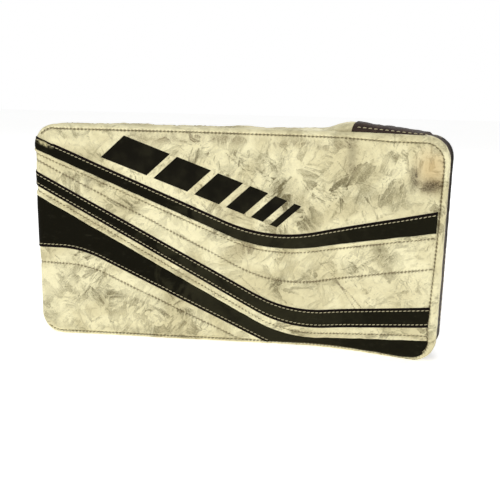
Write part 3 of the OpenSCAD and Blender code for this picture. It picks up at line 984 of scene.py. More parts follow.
EMBLEM_START = np.array([64.0, 175.0])
EMBLEM_SLOPE = math.radians(-20)
EMBLEM_H = 27.0
EMBLEM_SLANT = 14.0
EMBLEM_T = 0.4
BAR_WIDTHS = (46, 34, 25, 18, 12, 7)
BAR_GAP = 7.0


def emblem(material):
    """Plain slanted bars of thin film, which grow narrower towards the forearm end."""
    along = np.array([math.cos(EMBLEM_SLOPE), math.sin(EMBLEM_SLOPE)])
    up = np.array([-along[1], along[0]])
    parts = []
    start = 0.0
    for width in BAR_WIDTHS:
        p, q = grid(spaced(0, width, 1.3), spaced(0, EMBLEM_H, 1.3))
        edge = np.min([p, width - p, q, EMBLEM_H - q], axis=0)
        shifted = p + start + EMBLEM_SLANT * q / EMBLEM_H
        a, b = np.moveaxis(EMBLEM_START + shifted[..., None] * along + q[..., None] * up, -1, 0)
        height = relief(a, b)
        rise = EMBLEM_T * clamped(0.4 + edge / 0.8)
        parts.append(closed_sheet(on_board(a, b, height + rise), on_board(a, b, height - 0.5)))
        start += width + BAR_GAP
    return add_mesh("emblem_bars_film", *joined(parts), material)


BAND_OUT = 1.5
BAND_DOWN = 3.5
BAND_S = (-0.75 * ARC, FINGER_S - 0.25 * ARC)
WALL_T = 1.4


def band_height(share):
    """Profile of the edge binding across its width, from its sewn edge to the one on the side wall."""
    return BAND_OUT * clamped(share * 9) ** 0.5 * clamped((1 - share) * 12 + 0.3) ** 0.5


def edge_binding(material):
    """The white band that binds the face's edge, wide at the forearm end and left out at the finger end."""
    s, share = grid(spaced(*BAND_S, 1.6), spaced(0, 1, 0.055))
    inner = border_inset(s)
    inset = inner - share * (inner + FACE_REACH + BAND_DOWN)
    fine_pucker = 0.28 * waves(s, share * 9, size=6, seed=12, octaves=2)
    pucker = fine_pucker + 0.3 * waves(s, share * 4, size=30, seed=13)
    out = band_height(share) * (1 + 0.5 * pucker)
    ends = clamped(np.minimum(s - BAND_S[0], BAND_S[1] - s) / 12)
    out = out * ends + 0.5 * (1 - ends)
    # Towards the foot of the forearm end, the painted seam shade and grime reach further across the binding
    heavier_seam_shade_and_grime = ramp(s, FOREARM_S + 90, FOREARM_S + 150) * ramp(s, BOTTOM_S + 60, BOTTOM_S)
    return add_sheet(
        "edge_binding_leather", round_board(s, inset, out), round_board(s, inset, out - WALL_T), material,
        seam=share * 14 * (1 - 0.45 * heavier_seam_shade_and_grime) + 0.4, crease=np.full_like(s, UNMARKED), run=s,
    )


def face_stitches(olive, cream):
    """Olive stitches on the white panels and cream ones along the stripes' folded edges."""

    def row(line, surface, low=0.0, seed=None, **kinds):
        a = spaced(-2.0, BOARD_L - 6, 1.0)
        b = line(a) + (0 if seed is None else waver(a, seed))
        a, b = a[b > low], b[b > low]
        return stitched_line(lambda out: on_board(a, b, surface(a, b) + out), **kinds)

    def on_panel(a, b):
        return relief(a, b) + 0.22

    def on_stripe(a, b):
        return relief(a, b) * ON_STRIPES + STRIPE_T - 0.05

    sewn_by_hand = {"length": 2.9, "gap": 0.8, "lean": 0.35}
    panel = [
        row(line, on_panel, low, seed, **sewn_by_hand)
        for seed, (line, low) in enumerate(zip(PANEL_SEAMS.values(), (0, 0, 0, 3.0)))
    ]
    s = spaced(BAND_S[0] + 6, BAND_S[1] - 4, 1.0)
    panel.append(stitched_line(lambda out: round_board(s, border_inset(s) + 0.2, 0.25 + out), **sewn_by_hand))
    trims = (
        (lambda a: UPPER_TOP(a) - 3.0, 0.0),
        (lambda a: MIDDLE_TOP(a) - 2.8, 0.0),
        (lambda a: MIDDLE_BOTTOM(a) + 3.1, 0.0),
        (lambda a: LOWER_BOTTOM(a) + 3.2, 2.6),
    )
    edges = [row(line, on_stripe, low, length=3.5, gap=0.45, thick=0.4) for line, low in trims]
    return (
        add_mesh("panel_stitches", *joined(panel), olive),
        add_mesh("stripe_stitches", *joined(edges), cream),
    )


# ---------------------------------------------------------------- side walls and rear

SEAM_A = FLAT_L + BEND_R * math.asin(44 / BEND_R)
SEAM_LEAN = 6.0
PUFF = 1.0
TOP_PUFF = 8.5
# How far the wall sinks or stands out along the forearm end, which hangs slack by its upper corner
SLACK_PLACES = (FOREARM_S - ARC, FOREARM_S, FOREARM_S + 50, FOREARM_S + 110, BOTTOM_S)
SLACK = (-0.1, -0.9, -0.6, 0.5, -0.2)
WALL_STEP = 1.5
REAR_STEP = 2.2
REAR_BAND_W = 6.0
REAR_BAND_T = 1.3


def top_puff(s):
    """How far the padded side wall stands above the board's top edge, near its bend."""
    a = (s + ROUND_S / 2) % ROUND_S - ROUND_S / 2 + CORNER_R
    rise = ramp(a, 268, 294) + 0.2 * ramp(a, 215, 265) * ramp(a, 296, 262)
    on_top = (a > 0) & (a < BOARD_L + 30)
    return np.where(on_top, TOP_PUFF * smooth_step(rise) * ramp(a, BOARD_L + 4, BOARD_L - 82), 0)


def wall_out(s, down):
    """How far the side wall stands out, down from the face's rim: crowned, puffed and creased."""
    share = clamped(down / SIDE_T)
    round_s = s % ROUND_S
    crease = 0.5 * waves(s, down, size=22, seed=20, octaves=3) + 0.35 * waves(s, down * 0.3, size=7)
    on_top = clamped(np.minimum(round_s, STRAIGHT[0] - round_s) / 30)
    crown = np.sin(math.pi * share) ** 0.7 + 1.1 * on_top * np.sin(math.pi * share**2.2)
    out = (PUFF + crease) * crown + np.sin(math.pi * share**0.8) ** 0.55 * top_puff(s)
    forearm = (round_s > FOREARM_S - ARC) & (round_s < BOTTOM_S)
    out = np.where(forearm, 0.4 * out + np.interp(round_s, SLACK_PLACES, SLACK), out)
    bottom = (round_s > BOTTOM_S - ARC) & (round_s < FINGER_S)
    return np.where(bottom, np.minimum(out, 0.0) * 0.5, out)


def side_wall(name, s_face, s_rear, material):
    """A strip of side wall between two leaning ends, each given at the face and at the rear."""
    between_ends = np.linspace(0, 1, int((s_face[1] - s_face[0]) / REAR_STEP))
    share, down = grid(between_ends, spaced(0, SIDE_T, WALL_STEP))
    start, end = (face + (rear - face) * down / SIDE_T for face, rear in zip(s_face, s_rear))
    s = start + (end - start) * share
    out = wall_out(s, down)
    inset = -FACE_REACH - down
    return add_sheet(
        name, round_board(s, inset, out), round_board(s, inset, out - WALL_T), material,
        # seam: distance from the wall's edges, along which the scuffed white leather paints grime and shade
        place=flat_place(s, down), seam=np.minimum(down, SIDE_T - down), crease=np.full_like(s, UNMARKED),
    )


def wall_stitches(name, s_range, downs, material):
    """Rows of stitches along the side wall, each down from the face's rim."""
    s = spaced(*s_range, 1.0)
    rows = []
    for down in downs:
        out = wall_out(s, np.full_like(s, down)) + 0.12

        def line(rise):
            return round_board(s, -FACE_REACH - down, out + rise)

        rows.append(stitched_line(line, length=3.6, gap=1.4, thick=0.45))
    return add_mesh(name, *joined(rows), material)


def rear_cover(material):
    """The rear cover, which rolls over the rim to meet the side walls."""
    a, b = over_board(3.0, REAR_STEP)
    inset = outline_inset(a, b)[0]
    height = np.minimum(0.4 * waves(a, b, size=40, seed=31) * clamped(inset / 12), 0.0)
    top, under = on_board(a, b, height, rear=True), on_board(a, b, height - COVER_T, rear=True)
    return add_sheet(
        "rear_cover_leather", under, top, material,
        place=flat_place(a, b), seam=np.abs(inset - REAR_BAND_W), crease=np.full_like(a, UNMARKED),
    )


def rear_binding(material):
    """The black band that binds the rear's edge all the way round, thinner round the side where it shows."""
    s, share = grid(np.linspace(0, ROUND_S, 560)[:-1], spaced(0, 1, 0.07))
    inset = REAR_BAND_W - share * (REAR_BAND_W + FACE_REACH + BAND_DOWN)
    out = band_height(share) * (0.85 + 0.3 * waves(s, share * 9, size=7, seed=14, octaves=2))
    bottom = (s > BOTTOM_S - ARC) & (s < FINGER_S)
    seen = (s < BOTTOM_S) | (s > ROUND_S - ARC)
    thinned = out * np.interp(inset, [-1, 2.5], [0.45, 1])
    on_floor = np.where(bottom & (inset < 0.5), np.minimum(out, 0.5), out)
    out = np.where(seen, thinned, on_floor)
    top, under = round_board(s, inset, out, rear=True), round_board(s, inset, out - REAR_BAND_T, rear=True)
    return add_sheet("rear_binding_leather", under, top, material, wrap=True)


# ---------------------------------------------------------------- soft pieces on the rear


def cad_copy(name, node):
    """A mesh of its own, a copy of a CAD node, in the frame."""
    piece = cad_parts[node]
    points = np.array([piece.matrix_world @ corner.co for corner in piece.data.vertices]) / MM
    mesh = bpy.data.meshes.new(name)
    mesh.from_pydata((points * MM).tolist(), [], [list(face.vertices) for face in piece.data.polygons])
    return add_object(name, mesh)


def applied(made, kind, **settings):
    """made with one modifier applied."""
    modifier = made.modifiers.new(kind.lower(), kind)
    for key, value in settings.items():
        setattr(modifier, key, value)
    return settled(made)


def settled(made):
    """made with the modifiers it has applied."""
    graph = bpy.context.evaluated_depsgraph_get()
    mesh = bpy.data.meshes.new_from_object(made.evaluated_get(graph))
    made.modifiers.clear()
    made.data = mesh
    return made


def read(items, field):
    """A vector field of a mesh's items, as rows."""
    values = np.empty(len(items) * 3, np.float32)
    items.foreach_get(field, values)
    return values.reshape(-1, 3).astype(float)


def corners(made):
    """The points of a mesh, in millimetres."""
    return read(made.data.vertices, "co") / MM


def directions(made):
    """The outward directions at the points of a mesh."""
    return read(made.data.vertex_normals, "vector")


def move_to(made, points):
    made.data.vertices.foreach_set("co", (points * MM).astype(np.float32).ravel())
    made.data.update()


def finish_soft(made, material, fold=None):
    """Smooth shading, one material and how deep each point lies in a fold, from 0 to 1, which the suede and
    air mesh paint as shade.
    """
    mesh = made.data
    mesh.materials.clear()
    mesh.materials.append(material)
    mesh.polygons.foreach_set("use_smooth", [True] * len(mesh.polygons))
    if fold is not None:
        mesh.attributes.new("fold", "FLOAT", "POINT").data.foreach_set("value", fold.astype(np.float32))
    return made


def remeshed_copy(name, node, voxel):
    """A copy of a CAD node with a fine even mesh."""
    return applied(cad_copy(name, node), "REMESH", mode="VOXEL", voxel_size=voxel * MM)


def rounded_copy(name, node, voxel, smoothing):
    """A copy of a CAD node with a fine even mesh and softened edges."""
    return applied(remeshed_copy(name, node, voxel), "SMOOTH", factor=0.5, iterations=smoothing)


SWELL = 3.0
PUSH = {"index_guard_cushion": 8, "little_finger_guard_cushion": 12, "thumb_guard_cushion": 40}
SOFT_PUSH = 4
CLOTH_STEPS = 20


def inflate(pads):
    """Swells foam pads by cloth simulation, all at once, by no more than SWELL.

    Small stiff pads need more push.
    """
    starts = [corners(pad) for pad in pads]
    for pad in pads:
        cloth = pad.modifiers.new("cloth", "CLOTH")
        cloth.settings.use_pressure = True
        cloth.settings.uniform_pressure_force = PUSH.get(pad.name, SOFT_PUSH)
        cloth.settings.effector_weights.gravity = 0
        cloth.settings.tension_stiffness = 30
        cloth.settings.compression_stiffness = 30
        cloth.settings.bending_stiffness = 4
        cloth.point_cache.frame_end = CLOTH_STEPS
    for step in range(1, CLOTH_STEPS + 1):
        bpy.context.scene.frame_set(step)
    for pad, start in zip(pads, starts):
        settled(pad)
        grown = corners(pad) - start
        length = np.linalg.norm(grown, axis=1)[:, None]
        move_to(pad, start + grown * np.minimum(1, SWELL / np.maximum(length, 1e-6)))
    bpy.context.scene.frame_set(1)


def foam_pad(name, node, voxel=3.5, shrink=1.2):
    """The slack start of a foam pad, a little smaller than the room it has."""
    made = remeshed_copy(name, node, voxel)
    move_to(made, corners(made) - directions(made) * shrink)
    return made


def sewn(made, node, material, grooves=None, slack=0.6, pucker=0.35):
    """Finishes a swollen pad inside the room of its CAD node, with grooves sewn into it."""
    applied(made, "SUBSURF", levels=2, render_levels=2)
    points, normals = corners(made), directions(made)
    low, high = cad_box(node)
    points = np.clip(points, low - slack, high + slack)
    depth, near = grooves(points) if grooves else (0.0, 0.0)
    wrinkle = waves(*points.T, size=16, seed=50, octaves=3) + 0.7 * near * waves(*points.T, size=5, seed=51)
    move_to(made, points + normals * (pucker * wrinkle - depth)[:, None])
    # near: painted shade in the sewn grooves, on the air mesh
    finish_soft(made, material, np.broadcast_to(near, len(points)))
    return made


CHANNEL_HALF = 1.8


def channels(axis, places, depth=1.8):
    """Grooves across an axis at those places, for sewn()."""

    def grooves(points):
        near = bell(np.abs(points[:, axis, None] - np.array(places)).min(1), CHANNEL_HALF)
        return depth * near, near

    return grooves


def tube(path, radius, sides=8):
    """Points and faces of a round cord along a path, closed at both ends."""
    forward = unit(np.gradient(path, axis=0))
    helper = np.where(np.abs(forward[:, :1]) < 0.9, [[1.0, 0, 0]], [[0, 1.0, 0]])
    side = unit(np.cross(forward, helper))[:, None]
    other = np.cross(forward, side[:, 0])[:, None]
    turn = (np.arange(sides) * 2 * math.pi / sides)[:, None]
    return ringed(path[:, None] + radius * (np.cos(turn) * side + np.sin(turn) * other), path[0], path[-1])


def rounded_line(points, radius, step=1.0):
    """A path through points with its inner corners rounded."""
    points = [np.array(point, float) for point in points]
    path = [points[0]]
    for before, corner, after in zip(points, points[1:], points[2:]):
        back, on = before - corner, after - corner
        start = corner + back * min(0.5, radius / np.linalg.norm(back))
        end = corner + on * min(0.5, radius / np.linalg.norm(on))
        for t in np.linspace(0, 1, 9):
            path.append((1 - t) ** 2 * start + 2 * t * (1 - t) * corner + t**2 * end)
    path = np.array([*path, points[-1]])
    travelled = travel(path)
    keep = np.concatenate([[True], np.diff(travelled) > 1e-6])
    return sampled(spaced(0, travelled[-1], step), travelled[keep], path[keep])


def straight(start, end, step=1.0):
    """A straight path."""
    return rounded_line([start, end], 0, step)


def laid_on(made, path, toward, reach=14.0):
    """path dropped onto a piece in the direction toward, with the surface's normals there."""
    tree = BVHTree.FromObject(made, bpy.context.evaluated_depsgraph_get())
    toward = np.broadcast_to(np.array(toward, float), np.shape(path))
    points, normals = [], []
    for point, way in zip(path, toward):
        hit, normal, _, _ = tree.ray_cast(Vector((point - way * reach) * MM), Vector(way), 2 * reach * MM)
        if hit is not None:
            points.append(np.array(hit) / MM)
            normals.append(np.array(normal) * (1 if np.dot(normal, way) < 0 else -1))
    return np.array(points), np.array(normals)


def stitched(made, path, toward, **kinds):
    """Stitches laid on a piece along a path."""
    points, normals = laid_on(made, path, toward)
    return stitch_row(points + normals * 0.15, normals, **kinds)


# Glove, whose sizes follow the CAD boxes
PALM_LOW, PALM_HIGH = cad_box("palm_leather")
PAD_LOW, PAD_HIGH = cad_box("finger_backing_pad")
GUARD_LOW = cad_box("index_guard")[0]
ROLL_LOW, ROLL_HIGH = cad_box("little_finger_guard")
CUFF_LOW = cad_box("cuff_pad_outer_side")[0]
STRAP_LOW, STRAP_HIGH = cad_box("wrist_strap")
TAB_LOW, TAB_HIGH = cad_box("strap_pull_tab")
AXIS_Y = sum(corner[1] for corner in cad_box("stall_index")) / 2
FINGERS = ("index", "middle", "ring", "little")
HAND_Z = (PALM_LOW[2] + PALM_HIGH[2]) / 2
BETWEEN_FINGERS = [HAND_Z + step * (PALM_HIGH[2] - PALM_LOW[2]) / 4.3 for step in (-1, 0, 1)]
ROLL_CHANNELS = [ROLL_LOW[0] + step * (ROLL_HIGH[0] - ROLL_LOW[0]) / 4 for step in (1, 2, 3)]
GUARD_CHANNELS = (GUARD_LOW[1] + 12, GUARD_LOW[1] + 27)
CUFF_CHANNELS = (CUFF_LOW[1] + 16, CUFF_LOW[1] + 33)
THUMB_L = 48.0
THUMB_ANGLE = math.radians(25)
# The direction from the palm side onto the glove
INTO_PALM = (0, -1, 0)
PATCH_SEAM = 2.4
# Creases of a closing hand, as (place across the palm, depth)
PALM_CREASES = ((-10, 1.1), (6, 0.8), (24, 0.7), (47, 0.6))


def palm_rise(x, z):
    """How far the palm leather stands out at (x, z): creases of a closing hand and soft wrinkles."""
    across_palm = x + 0.18 * (z - HAND_Z) + 2.5 * waves(x, z, size=30, seed=60, octaves=2)
    rise = 0.55 * waves(x, z, size=18, seed=61, octaves=3)
    for place, depth in PALM_CREASES:
        rise = rise - depth * bell(across_palm - place, 1.8)
    return rise


def palm_leather(material):
    """Palm shell, creased across the hand, with a seam along each of its long edges."""
    made = rounded_copy("palm_suede", "palm_leather", 1.15, 6)
    points, normals = corners(made), directions(made)
    x, y, z = points.T
    rise = palm_rise(x, z)
    share = ramp(y, PALM_HIGH[1] - 14, PALM_HIGH[1] - 2)
    from_seam = np.minimum(z - PALM_LOW[2], PALM_HIGH[2] - z) - 9
    seam = bell(from_seam, 1.6) * (y > PALM_HIGH[1] - 8)
    moved = points + normals * (0.35 * waves(*points.T, size=9, seed=62, octaves=3) - 0.5 * seam)[:, None]
    moved[:, 1] += (rise - 0.9) * share
    move_to(made, moved)
    # fold: painted shade in the palm's creases and along its seams
    finish_soft(made, material, clamped(clamped(-rise / 1.2) * share + seam))
    return made


def palm_patch(material):
    """The grip patch sewn to the palm."""
    made = rounded_copy("palm_patch_suede", "palm_patch", 0.6, 3)
    points = corners(made)
    low, high = cad_box("palm_patch")
    from_seam = np.minimum(points - low, high - points)[:, (0, 2)].min(1) - PATCH_SEAM
    points[:, 1] += 0.8 * palm_rise(points[:, 0], points[:, 2]) - 0.75
    points[:, 1] -= 0.5 * bell(from_seam, 0.9) * (points[:, 1] > low[1])
    move_to(made, points)
    # fold: painted shade along the patch's seam
    return finish_soft(made, material, bell(from_seam, 1.2))


# Folds at each of a finger's two joints, as (distance from the joint, depth)
JOINT_FOLDS = ((-4.2, 0.55), (0.0, 1.0), (3.4, 0.45))
JOINT_SHARES = (0.36, 0.68)
FINGER_R = 12
# Turns round a finger from its palm side, to its side seams and to the stitches beside them
SIDE_SEAM = math.radians(68)
BESIDE_SEAM = math.radians(56)


def stall_relief(points, knuckle, length, seed):
    """Folds where a finger bends, seams down its sides and a rolled hem, as (rise, fold)."""
    x, y, z = points.T
    along = knuckle[0] - x
    turn = np.arctan2(z - knuckle[2], y - knuckle[1])
    rise = 0.4 * waves(*points.T, size=11, seed=seed, octaves=3)
    fold = np.zeros(len(points))
    palmside = clamped(np.cos(turn) + 0.3)
    bow = 2.2 * np.sin(turn) ** 2 + 1.6 * waves(z, x * 0.3, size=9, seed=seed, octaves=2)
    for share in JOINT_SHARES:
        for shift, depth in JOINT_FOLDS:
            near = bell(along - length * share - shift + bow, 1.1) * palmside * depth
            rise = rise - 0.9 * near
            fold = np.maximum(fold, near)
    from_seam = np.abs(np.abs(turn) - SIDE_SEAM) * FINGER_R
    near = bell(from_seam, 1.1) * (along > 4) * (along < length + 8)
    rise = rise - 0.7 * near + 0.35 * bell(from_seam - 2.4, 1.3) * (along > 4)
    return rise, np.maximum(fold, near)


def turned(points, centre, angle):
    """Points turned round a vertical line through centre."""
    away = points - centre
    x = away[:, 0] * math.cos(angle) - away[:, 1] * math.sin(angle)
    y = away[:, 0] * math.sin(angle) + away[:, 1] * math.cos(angle)
    return centre + np.column_stack([x, y, away[:, 2]])


def stall(name, node, knuckle, length, material, seed, angle=0.0):
    """A leather finger or thumb stall with folds and seams, which points along -X before it is turned."""
    made = rounded_copy(name, node, 1.1, 5)
    points = turned(corners(made), knuckle, -angle)
    normals = turned(directions(made), np.zeros(3), -angle)
    rise, fold = stall_relief(points, knuckle, length, seed)
    along = knuckle[0] - points[:, 0]
    taper = 1 - 0.07 * np.clip(along / length, 0, 1.2)
    points[:, 1:] = knuckle[1:] + (points[:, 1:] - knuckle[1:]) * taper[:, None]
    points = points + normals * (rise * ramp(along, -2, 8) - 0.2)[:, None]
    move_to(made, turned(points, knuckle, angle))
    # fold: painted shade in the joint folds and the side seams
    finish_soft(made, material, fold)
    return made


PALM_T = 2.2
PALM_CORNER_R = 12.0
GUSSET_T = 1.2
GUSSET_IN = 4.5
GUSSET_OUT = 13.0


def knuckle_gusset(finger, knuckle, radius, material):
    """Soft leather from inside the palm's edge over a finger's knuckle, with folds shaped into it."""
    palm_end, on_finger = PALM_LOW[0] + GUSSET_IN, knuckle[0] - GUSSET_OUT
    reach = radius - 0.4
    x, z = grid(spaced(on_finger, palm_end, 0.8), spaced(knuckle[2] - reach, knuckle[2] + reach, 0.8))
    inner_r = PALM_CORNER_R - PALM_T
    past_corner = np.maximum(PALM_CORNER_R - np.minimum(z - PALM_LOW[2], PALM_HIGH[2] - z), 0)
    round_corner = np.sqrt(inner_r**2 - np.minimum(past_corner, inner_r - 0.1) ** 2)
    in_palm = PALM_HIGH[1] - PALM_CORNER_R + round_corner
    over_finger = knuckle[1] + np.sqrt((radius + 1.3) ** 2 - (z - knuckle[2]) ** 2)
    share = smooth_step(ramp(x, on_finger, PALM_LOW[0]))
    fold = np.sin(math.pi * ramp(x, on_finger, palm_end))
    y = over_finger + (in_palm - over_finger) * share
    y = y + fold * (0.5 * waves(x, z * 0.5, size=6, seed=90, octaves=2) + 0.5 * ripple(x - on_finger, 5.2))
    y = np.minimum(y, np.where(x > PALM_LOW[0] - 0.5, in_palm, FAR))
    top, under = np.stack([x, y, z], -1), np.stack([x, y - GUSSET_T, z], -1)
    return add_mesh(f"knuckle_gusset_{finger}", *closed_sheet(under, top), material)


def folded_strap(name, path, x_range, thick, material):
    """Webbing along a path of (y, z), as wide as x_range, with thinner edges and woven ridges."""
    forward = unit(np.gradient(path, axis=0))
    middle, half = (x_range[0] + x_range[1]) / 2, (x_range[1] - x_range[0]) / 2
    s, q = grid(travel(path), np.linspace(-half, half, 61))
    body = thick / 2 * np.sqrt(np.clip((half - np.abs(q)) / 0.9, 0.2, 1)) - 0.12
    ridge = 0.09 * ripple(q, 3.8) + 0.07 * ripple(s, 1.9)
    sag = 0.12 * waves(s, q, size=24, seed=70, octaves=2)
    base = np.zeros((*s.shape, 3))
    base[..., 0] = middle + q * (1 - 0.008 * np.cos(s / 9))
    base[..., 1:] = path[:, None]
    out = np.zeros_like(base)
    out[..., 1] = -forward[:, 1][:, None]
    out[..., 2] = forward[:, 0][:, None]
    top = base + out * (body + ridge + sag)[..., None]
    under = base - out * (body + ridge - sag)[..., None]
    return add_sheet(name, top, under, material)


STRAP_T = 2.4
EYE_R = 4.6
BAR_Y, BAR_Z = STRAP_HIGH[1] - EYE_R, STRAP_HIGH[2] - EYE_R


def wrist_strap(material):
    """The strap: sewn back on itself round the ring's bar, down past the wrist and folded under the cuff."""
    run_y = BAR_Y - EYE_R + STRAP_T / 2
    leg_z = STRAP_LOW[2] + STRAP_T / 2
    eye = EYE_R - STRAP_T / 2
    places = [
        (run_y + 2.7, BAR_Z - 30), (run_y + 2.7, BAR_Z - 8),
        (BAR_Y + eye, BAR_Z - 4), (BAR_Y + eye, BAR_Z + eye), (run_y, BAR_Z + eye),
        (run_y, leg_z), (STRAP_LOW[1] + 0.5, leg_z),
    ]
    path = rounded_line([(*place, 0) for place in places], eye, 0.7)[:, :2]
    made = folded_strap("wrist_strap_webbing", path, (STRAP_LOW[0], STRAP_HIGH[0]), STRAP_T, material)
    return made


def strap_stitches(made, material):
    """Box stitching through the strap's doubled end and a row across its fastener."""
    fine = {"length": 2.4, "gap": 0.8, "thick": 0.35}
    x0, x1 = STRAP_LOW[0] + 4, STRAP_HIGH[0] - 4
    y, z0, z1 = STRAP_HIGH[1], BAR_Z - 27, BAR_Z - 11
    a, b, c, d = (x0, y, z0), (x1, y, z0), (x1, y, z1), (x0, y, z1)
    box = ((a, b), (b, c), (c, d), (d, a), (a, c), (d, b))
    rows = [stitched(made, straight(*line), INTO_PALM, **fine) for line in box]
    z = STRAP_LOW[2]
    for y in (STRAP_LOW[1] + 3, STRAP_LOW[1] + 26):
        rows.append(stitched(made, straight((x0 - 1, y, z), (x1 + 1, y, z)), (0, 0, 1), **fine))
    return add_mesh("strap_stitches", *joined(rows), material)


def fastener(name, node, voxel, material):
    """A patch of hooks or loops with a matted face."""
    made = rounded_copy(name, node, voxel, 2)
    points, normals = corners(made), directions(made)
    matted = 0.12 * waves(*points.T, size=3, seed=75, octaves=3)
    move_to(made, points + normals * (matted - 0.05)[:, None])
    return finish_soft(made, material)


def pull_tab(material):
    """Moulded pull tab with grip ridges across it."""
    made = rounded_copy("strap_pull_tab_rubber", "strap_pull_tab", 0.5, 4)
    points, normals = corners(made), directions(made)
    edge = np.minimum(points[:, 0] - TAB_LOW[0], TAB_HIGH[0] - points[:, 0])
    ridge = 0.35 * ripple(points[:, 1] - TAB_LOW[1], 2.4) * ramp(edge, 2, 4)
    move_to(made, points + normals * (ridge * np.abs(normals[:, 2]) - 0.25)[:, None])
    return finish_soft(made, material)


PAD_OUTLINE = ((0, 0), (0, 1), (1, 1), (1, 0))
CUFF_OUTLINE = ((0, 0), (0, 1), (0.68, 1), (1, 0.81), (1, 0))


def welt(pad, box, outline, radius, material):
    """Piping laid round the middle of a pad's free edge."""
    low, high = box
    size = high - low
    z = (low[2] + high[2]) / 2
    line = [(low[0] + a * size[0], low[1] + 2 + b * (size[1] - 2), z) for a, b in outline]
    path = rounded_line(line, radius)
    forward = np.gradient(path, axis=0)
    inward = unit(np.stack([forward[:, 1], -forward[:, 0], np.zeros(len(path))], -1))
    points, _ = laid_on(pad, path, inward, 7.0)
    for _ in range(6):
        points[1:-1] = (points[:-2] + 2 * points[1:-1] + points[2:]) / 4
    return add_mesh(pad.name.replace("cushion", "piping"), *tube(points, 1.3), material)


def loop_path(box, inset, radius):
    """A rounded loop inset from the outline of a flat piece, on its palm side."""
    low, high = box
    (x0, _, z0), (x1, y, z1) = low + inset, high - inset
    middle = (x0 + x1) / 2
    places = [(middle, z0), (x1, z0), (x1, z1), (x0, z1), (x0, z0), (middle, z0)]
    return rounded_line([(x, y, z) for x, z in places], radius)


def pad_stitches(pad, box, ys, material):
    """Stitches in a side pad's channels, on both of its faces."""
    low, high = box
    rows = []
    for y in ys:
        for z, way in ((low[2], 1), (high[2], -1)):
            line = straight((low[0] + 4, y, z), (high[0] - 5, y, z))
            rows.append(stitched(pad, line, (0, 0, way), thick=0.35))
    return add_mesh(pad.name.replace("cushion", "stitches"), *joined(rows), material)


def stall_stitches(made, knuckle, length, material, angle=0.0):
    """A row of stitches beside each of a stall's side seams."""
    along = spaced(15, length + 1, 1.0)
    rows = []
    for side in (-1, 1):
        turn = side * BESIDE_SEAM
        out = np.array([0, math.cos(turn), math.sin(turn)])
        path = knuckle + along[:, None] * np.array([-1, 0, 0]) + out * FINGER_R
        path = turned(path, knuckle, angle)
        way = turned(-out[None], np.zeros(3), angle)[0]
        rows.append(stitched(made, path, way, length=2.2, gap=1.0, thick=0.3))
    return add_mesh(made.name.replace("suede", "stitches"), *joined(rows), material)


def glove_stitches(palm, patch, backing, material):
    """Stitches round the palm patch, along the palm's seams and across the pad behind the fingers."""
    palm_kind = {"length": 2.6, "gap": 1.0, "thick": 0.35}
    (x0, _, z0), (x1, y, z1) = PALM_LOW, PALM_HIGH
    loop = loop_path(cad_box("palm_patch"), PATCH_SEAM, 10)
    rows = [stitched(patch, loop, INTO_PALM, length=2.4, gap=1.0, thick=0.32)]
    palm_lines = [((x0 + 2, y, z), (x1 - 2, y, z)) for z in (z0 + 11.4, z1 - 11.4)]
    palm_lines += [((x, y, z0 + 13), (x, y, z1 - 13)) for x in (x0 + 2.2, x1 - 2.4)]
    rows += [stitched(palm, straight(*line), INTO_PALM, **palm_kind) for line in palm_lines]
    for z in BETWEEN_FINGERS:
        line = straight((PAD_LOW[0] + 5, PAD_HIGH[1], z), (PAD_HIGH[0] - 4, PAD_HIGH[1], z))
        rows.append(stitched(backing, line, INTO_PALM, thick=0.35))
    return add_mesh("glove_stitches", *joined(rows), material)


def roll_stitches(roll, material):
    """Stitches across the little finger's roll, in its channels."""
    y, z0, z1 = ROLL_HIGH[1], ROLL_LOW[2] + 1.5, ROLL_HIGH[2] - 1.5
    lines = [straight((x, y, z0), (x, y, z1), 0.5) for x in ROLL_CHANNELS]
    rows = [stitched(roll, line, INTO_PALM, length=2.0, gap=0.8, thick=0.35) for line in lines]
    return add_mesh("little_finger_guard_stitches", *joined(rows), material)


def rear_binding_stitches(material):
    """A row of stitches all round the rear binding's inner edge."""
    s = spaced(0, ROUND_S - 2, 1.2)

    def line(out):
        return round_board(s, 4.6, 1.35 + out, rear=True)

    return add_mesh("rear_binding_stitches", *stitched_line(line, length=3.4, gap=1.2, thick=0.4), material)


# ---------------------------------------------------------------- stage, light and camera


def stage():
    """A plain pale floor that the finished object stands on, far larger than it."""
    s = Surface("pale_floor", roughness=0.9, specular=0.1)
    s.colour(s.mix(s.noise(400, detail=2), srgb(246, 246, 245), srgb(250, 250, 249)))
    s.set("Emission Color", (1, 1, 1, 1))
    s.set("Emission Strength", 0.5)
    half = 4000.0
    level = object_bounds()[0][2] / MM
    outline = [(-half, -half, level), (half, -half, level), (half, half, level), (-half, half, level)]
    floor = add_mesh("floor", outline, [(0, 1, 2, 3)], s.material)
    floor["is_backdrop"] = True


def area_light(name, place, watts):
    """A large square lamp at a place, turned to the object."""
    aim = Vector((0, 0, 90))
    lamp = bpy.data.lights.new(name, "AREA")
    lamp.size = 900 * MM
    lamp.energy = watts
    made = add_object(name, lamp)
    made.location = Vector(place) * MM
    made.rotation_euler = (aim - Vector(place)).to_track_quat("-Z", "Y").to_euler()


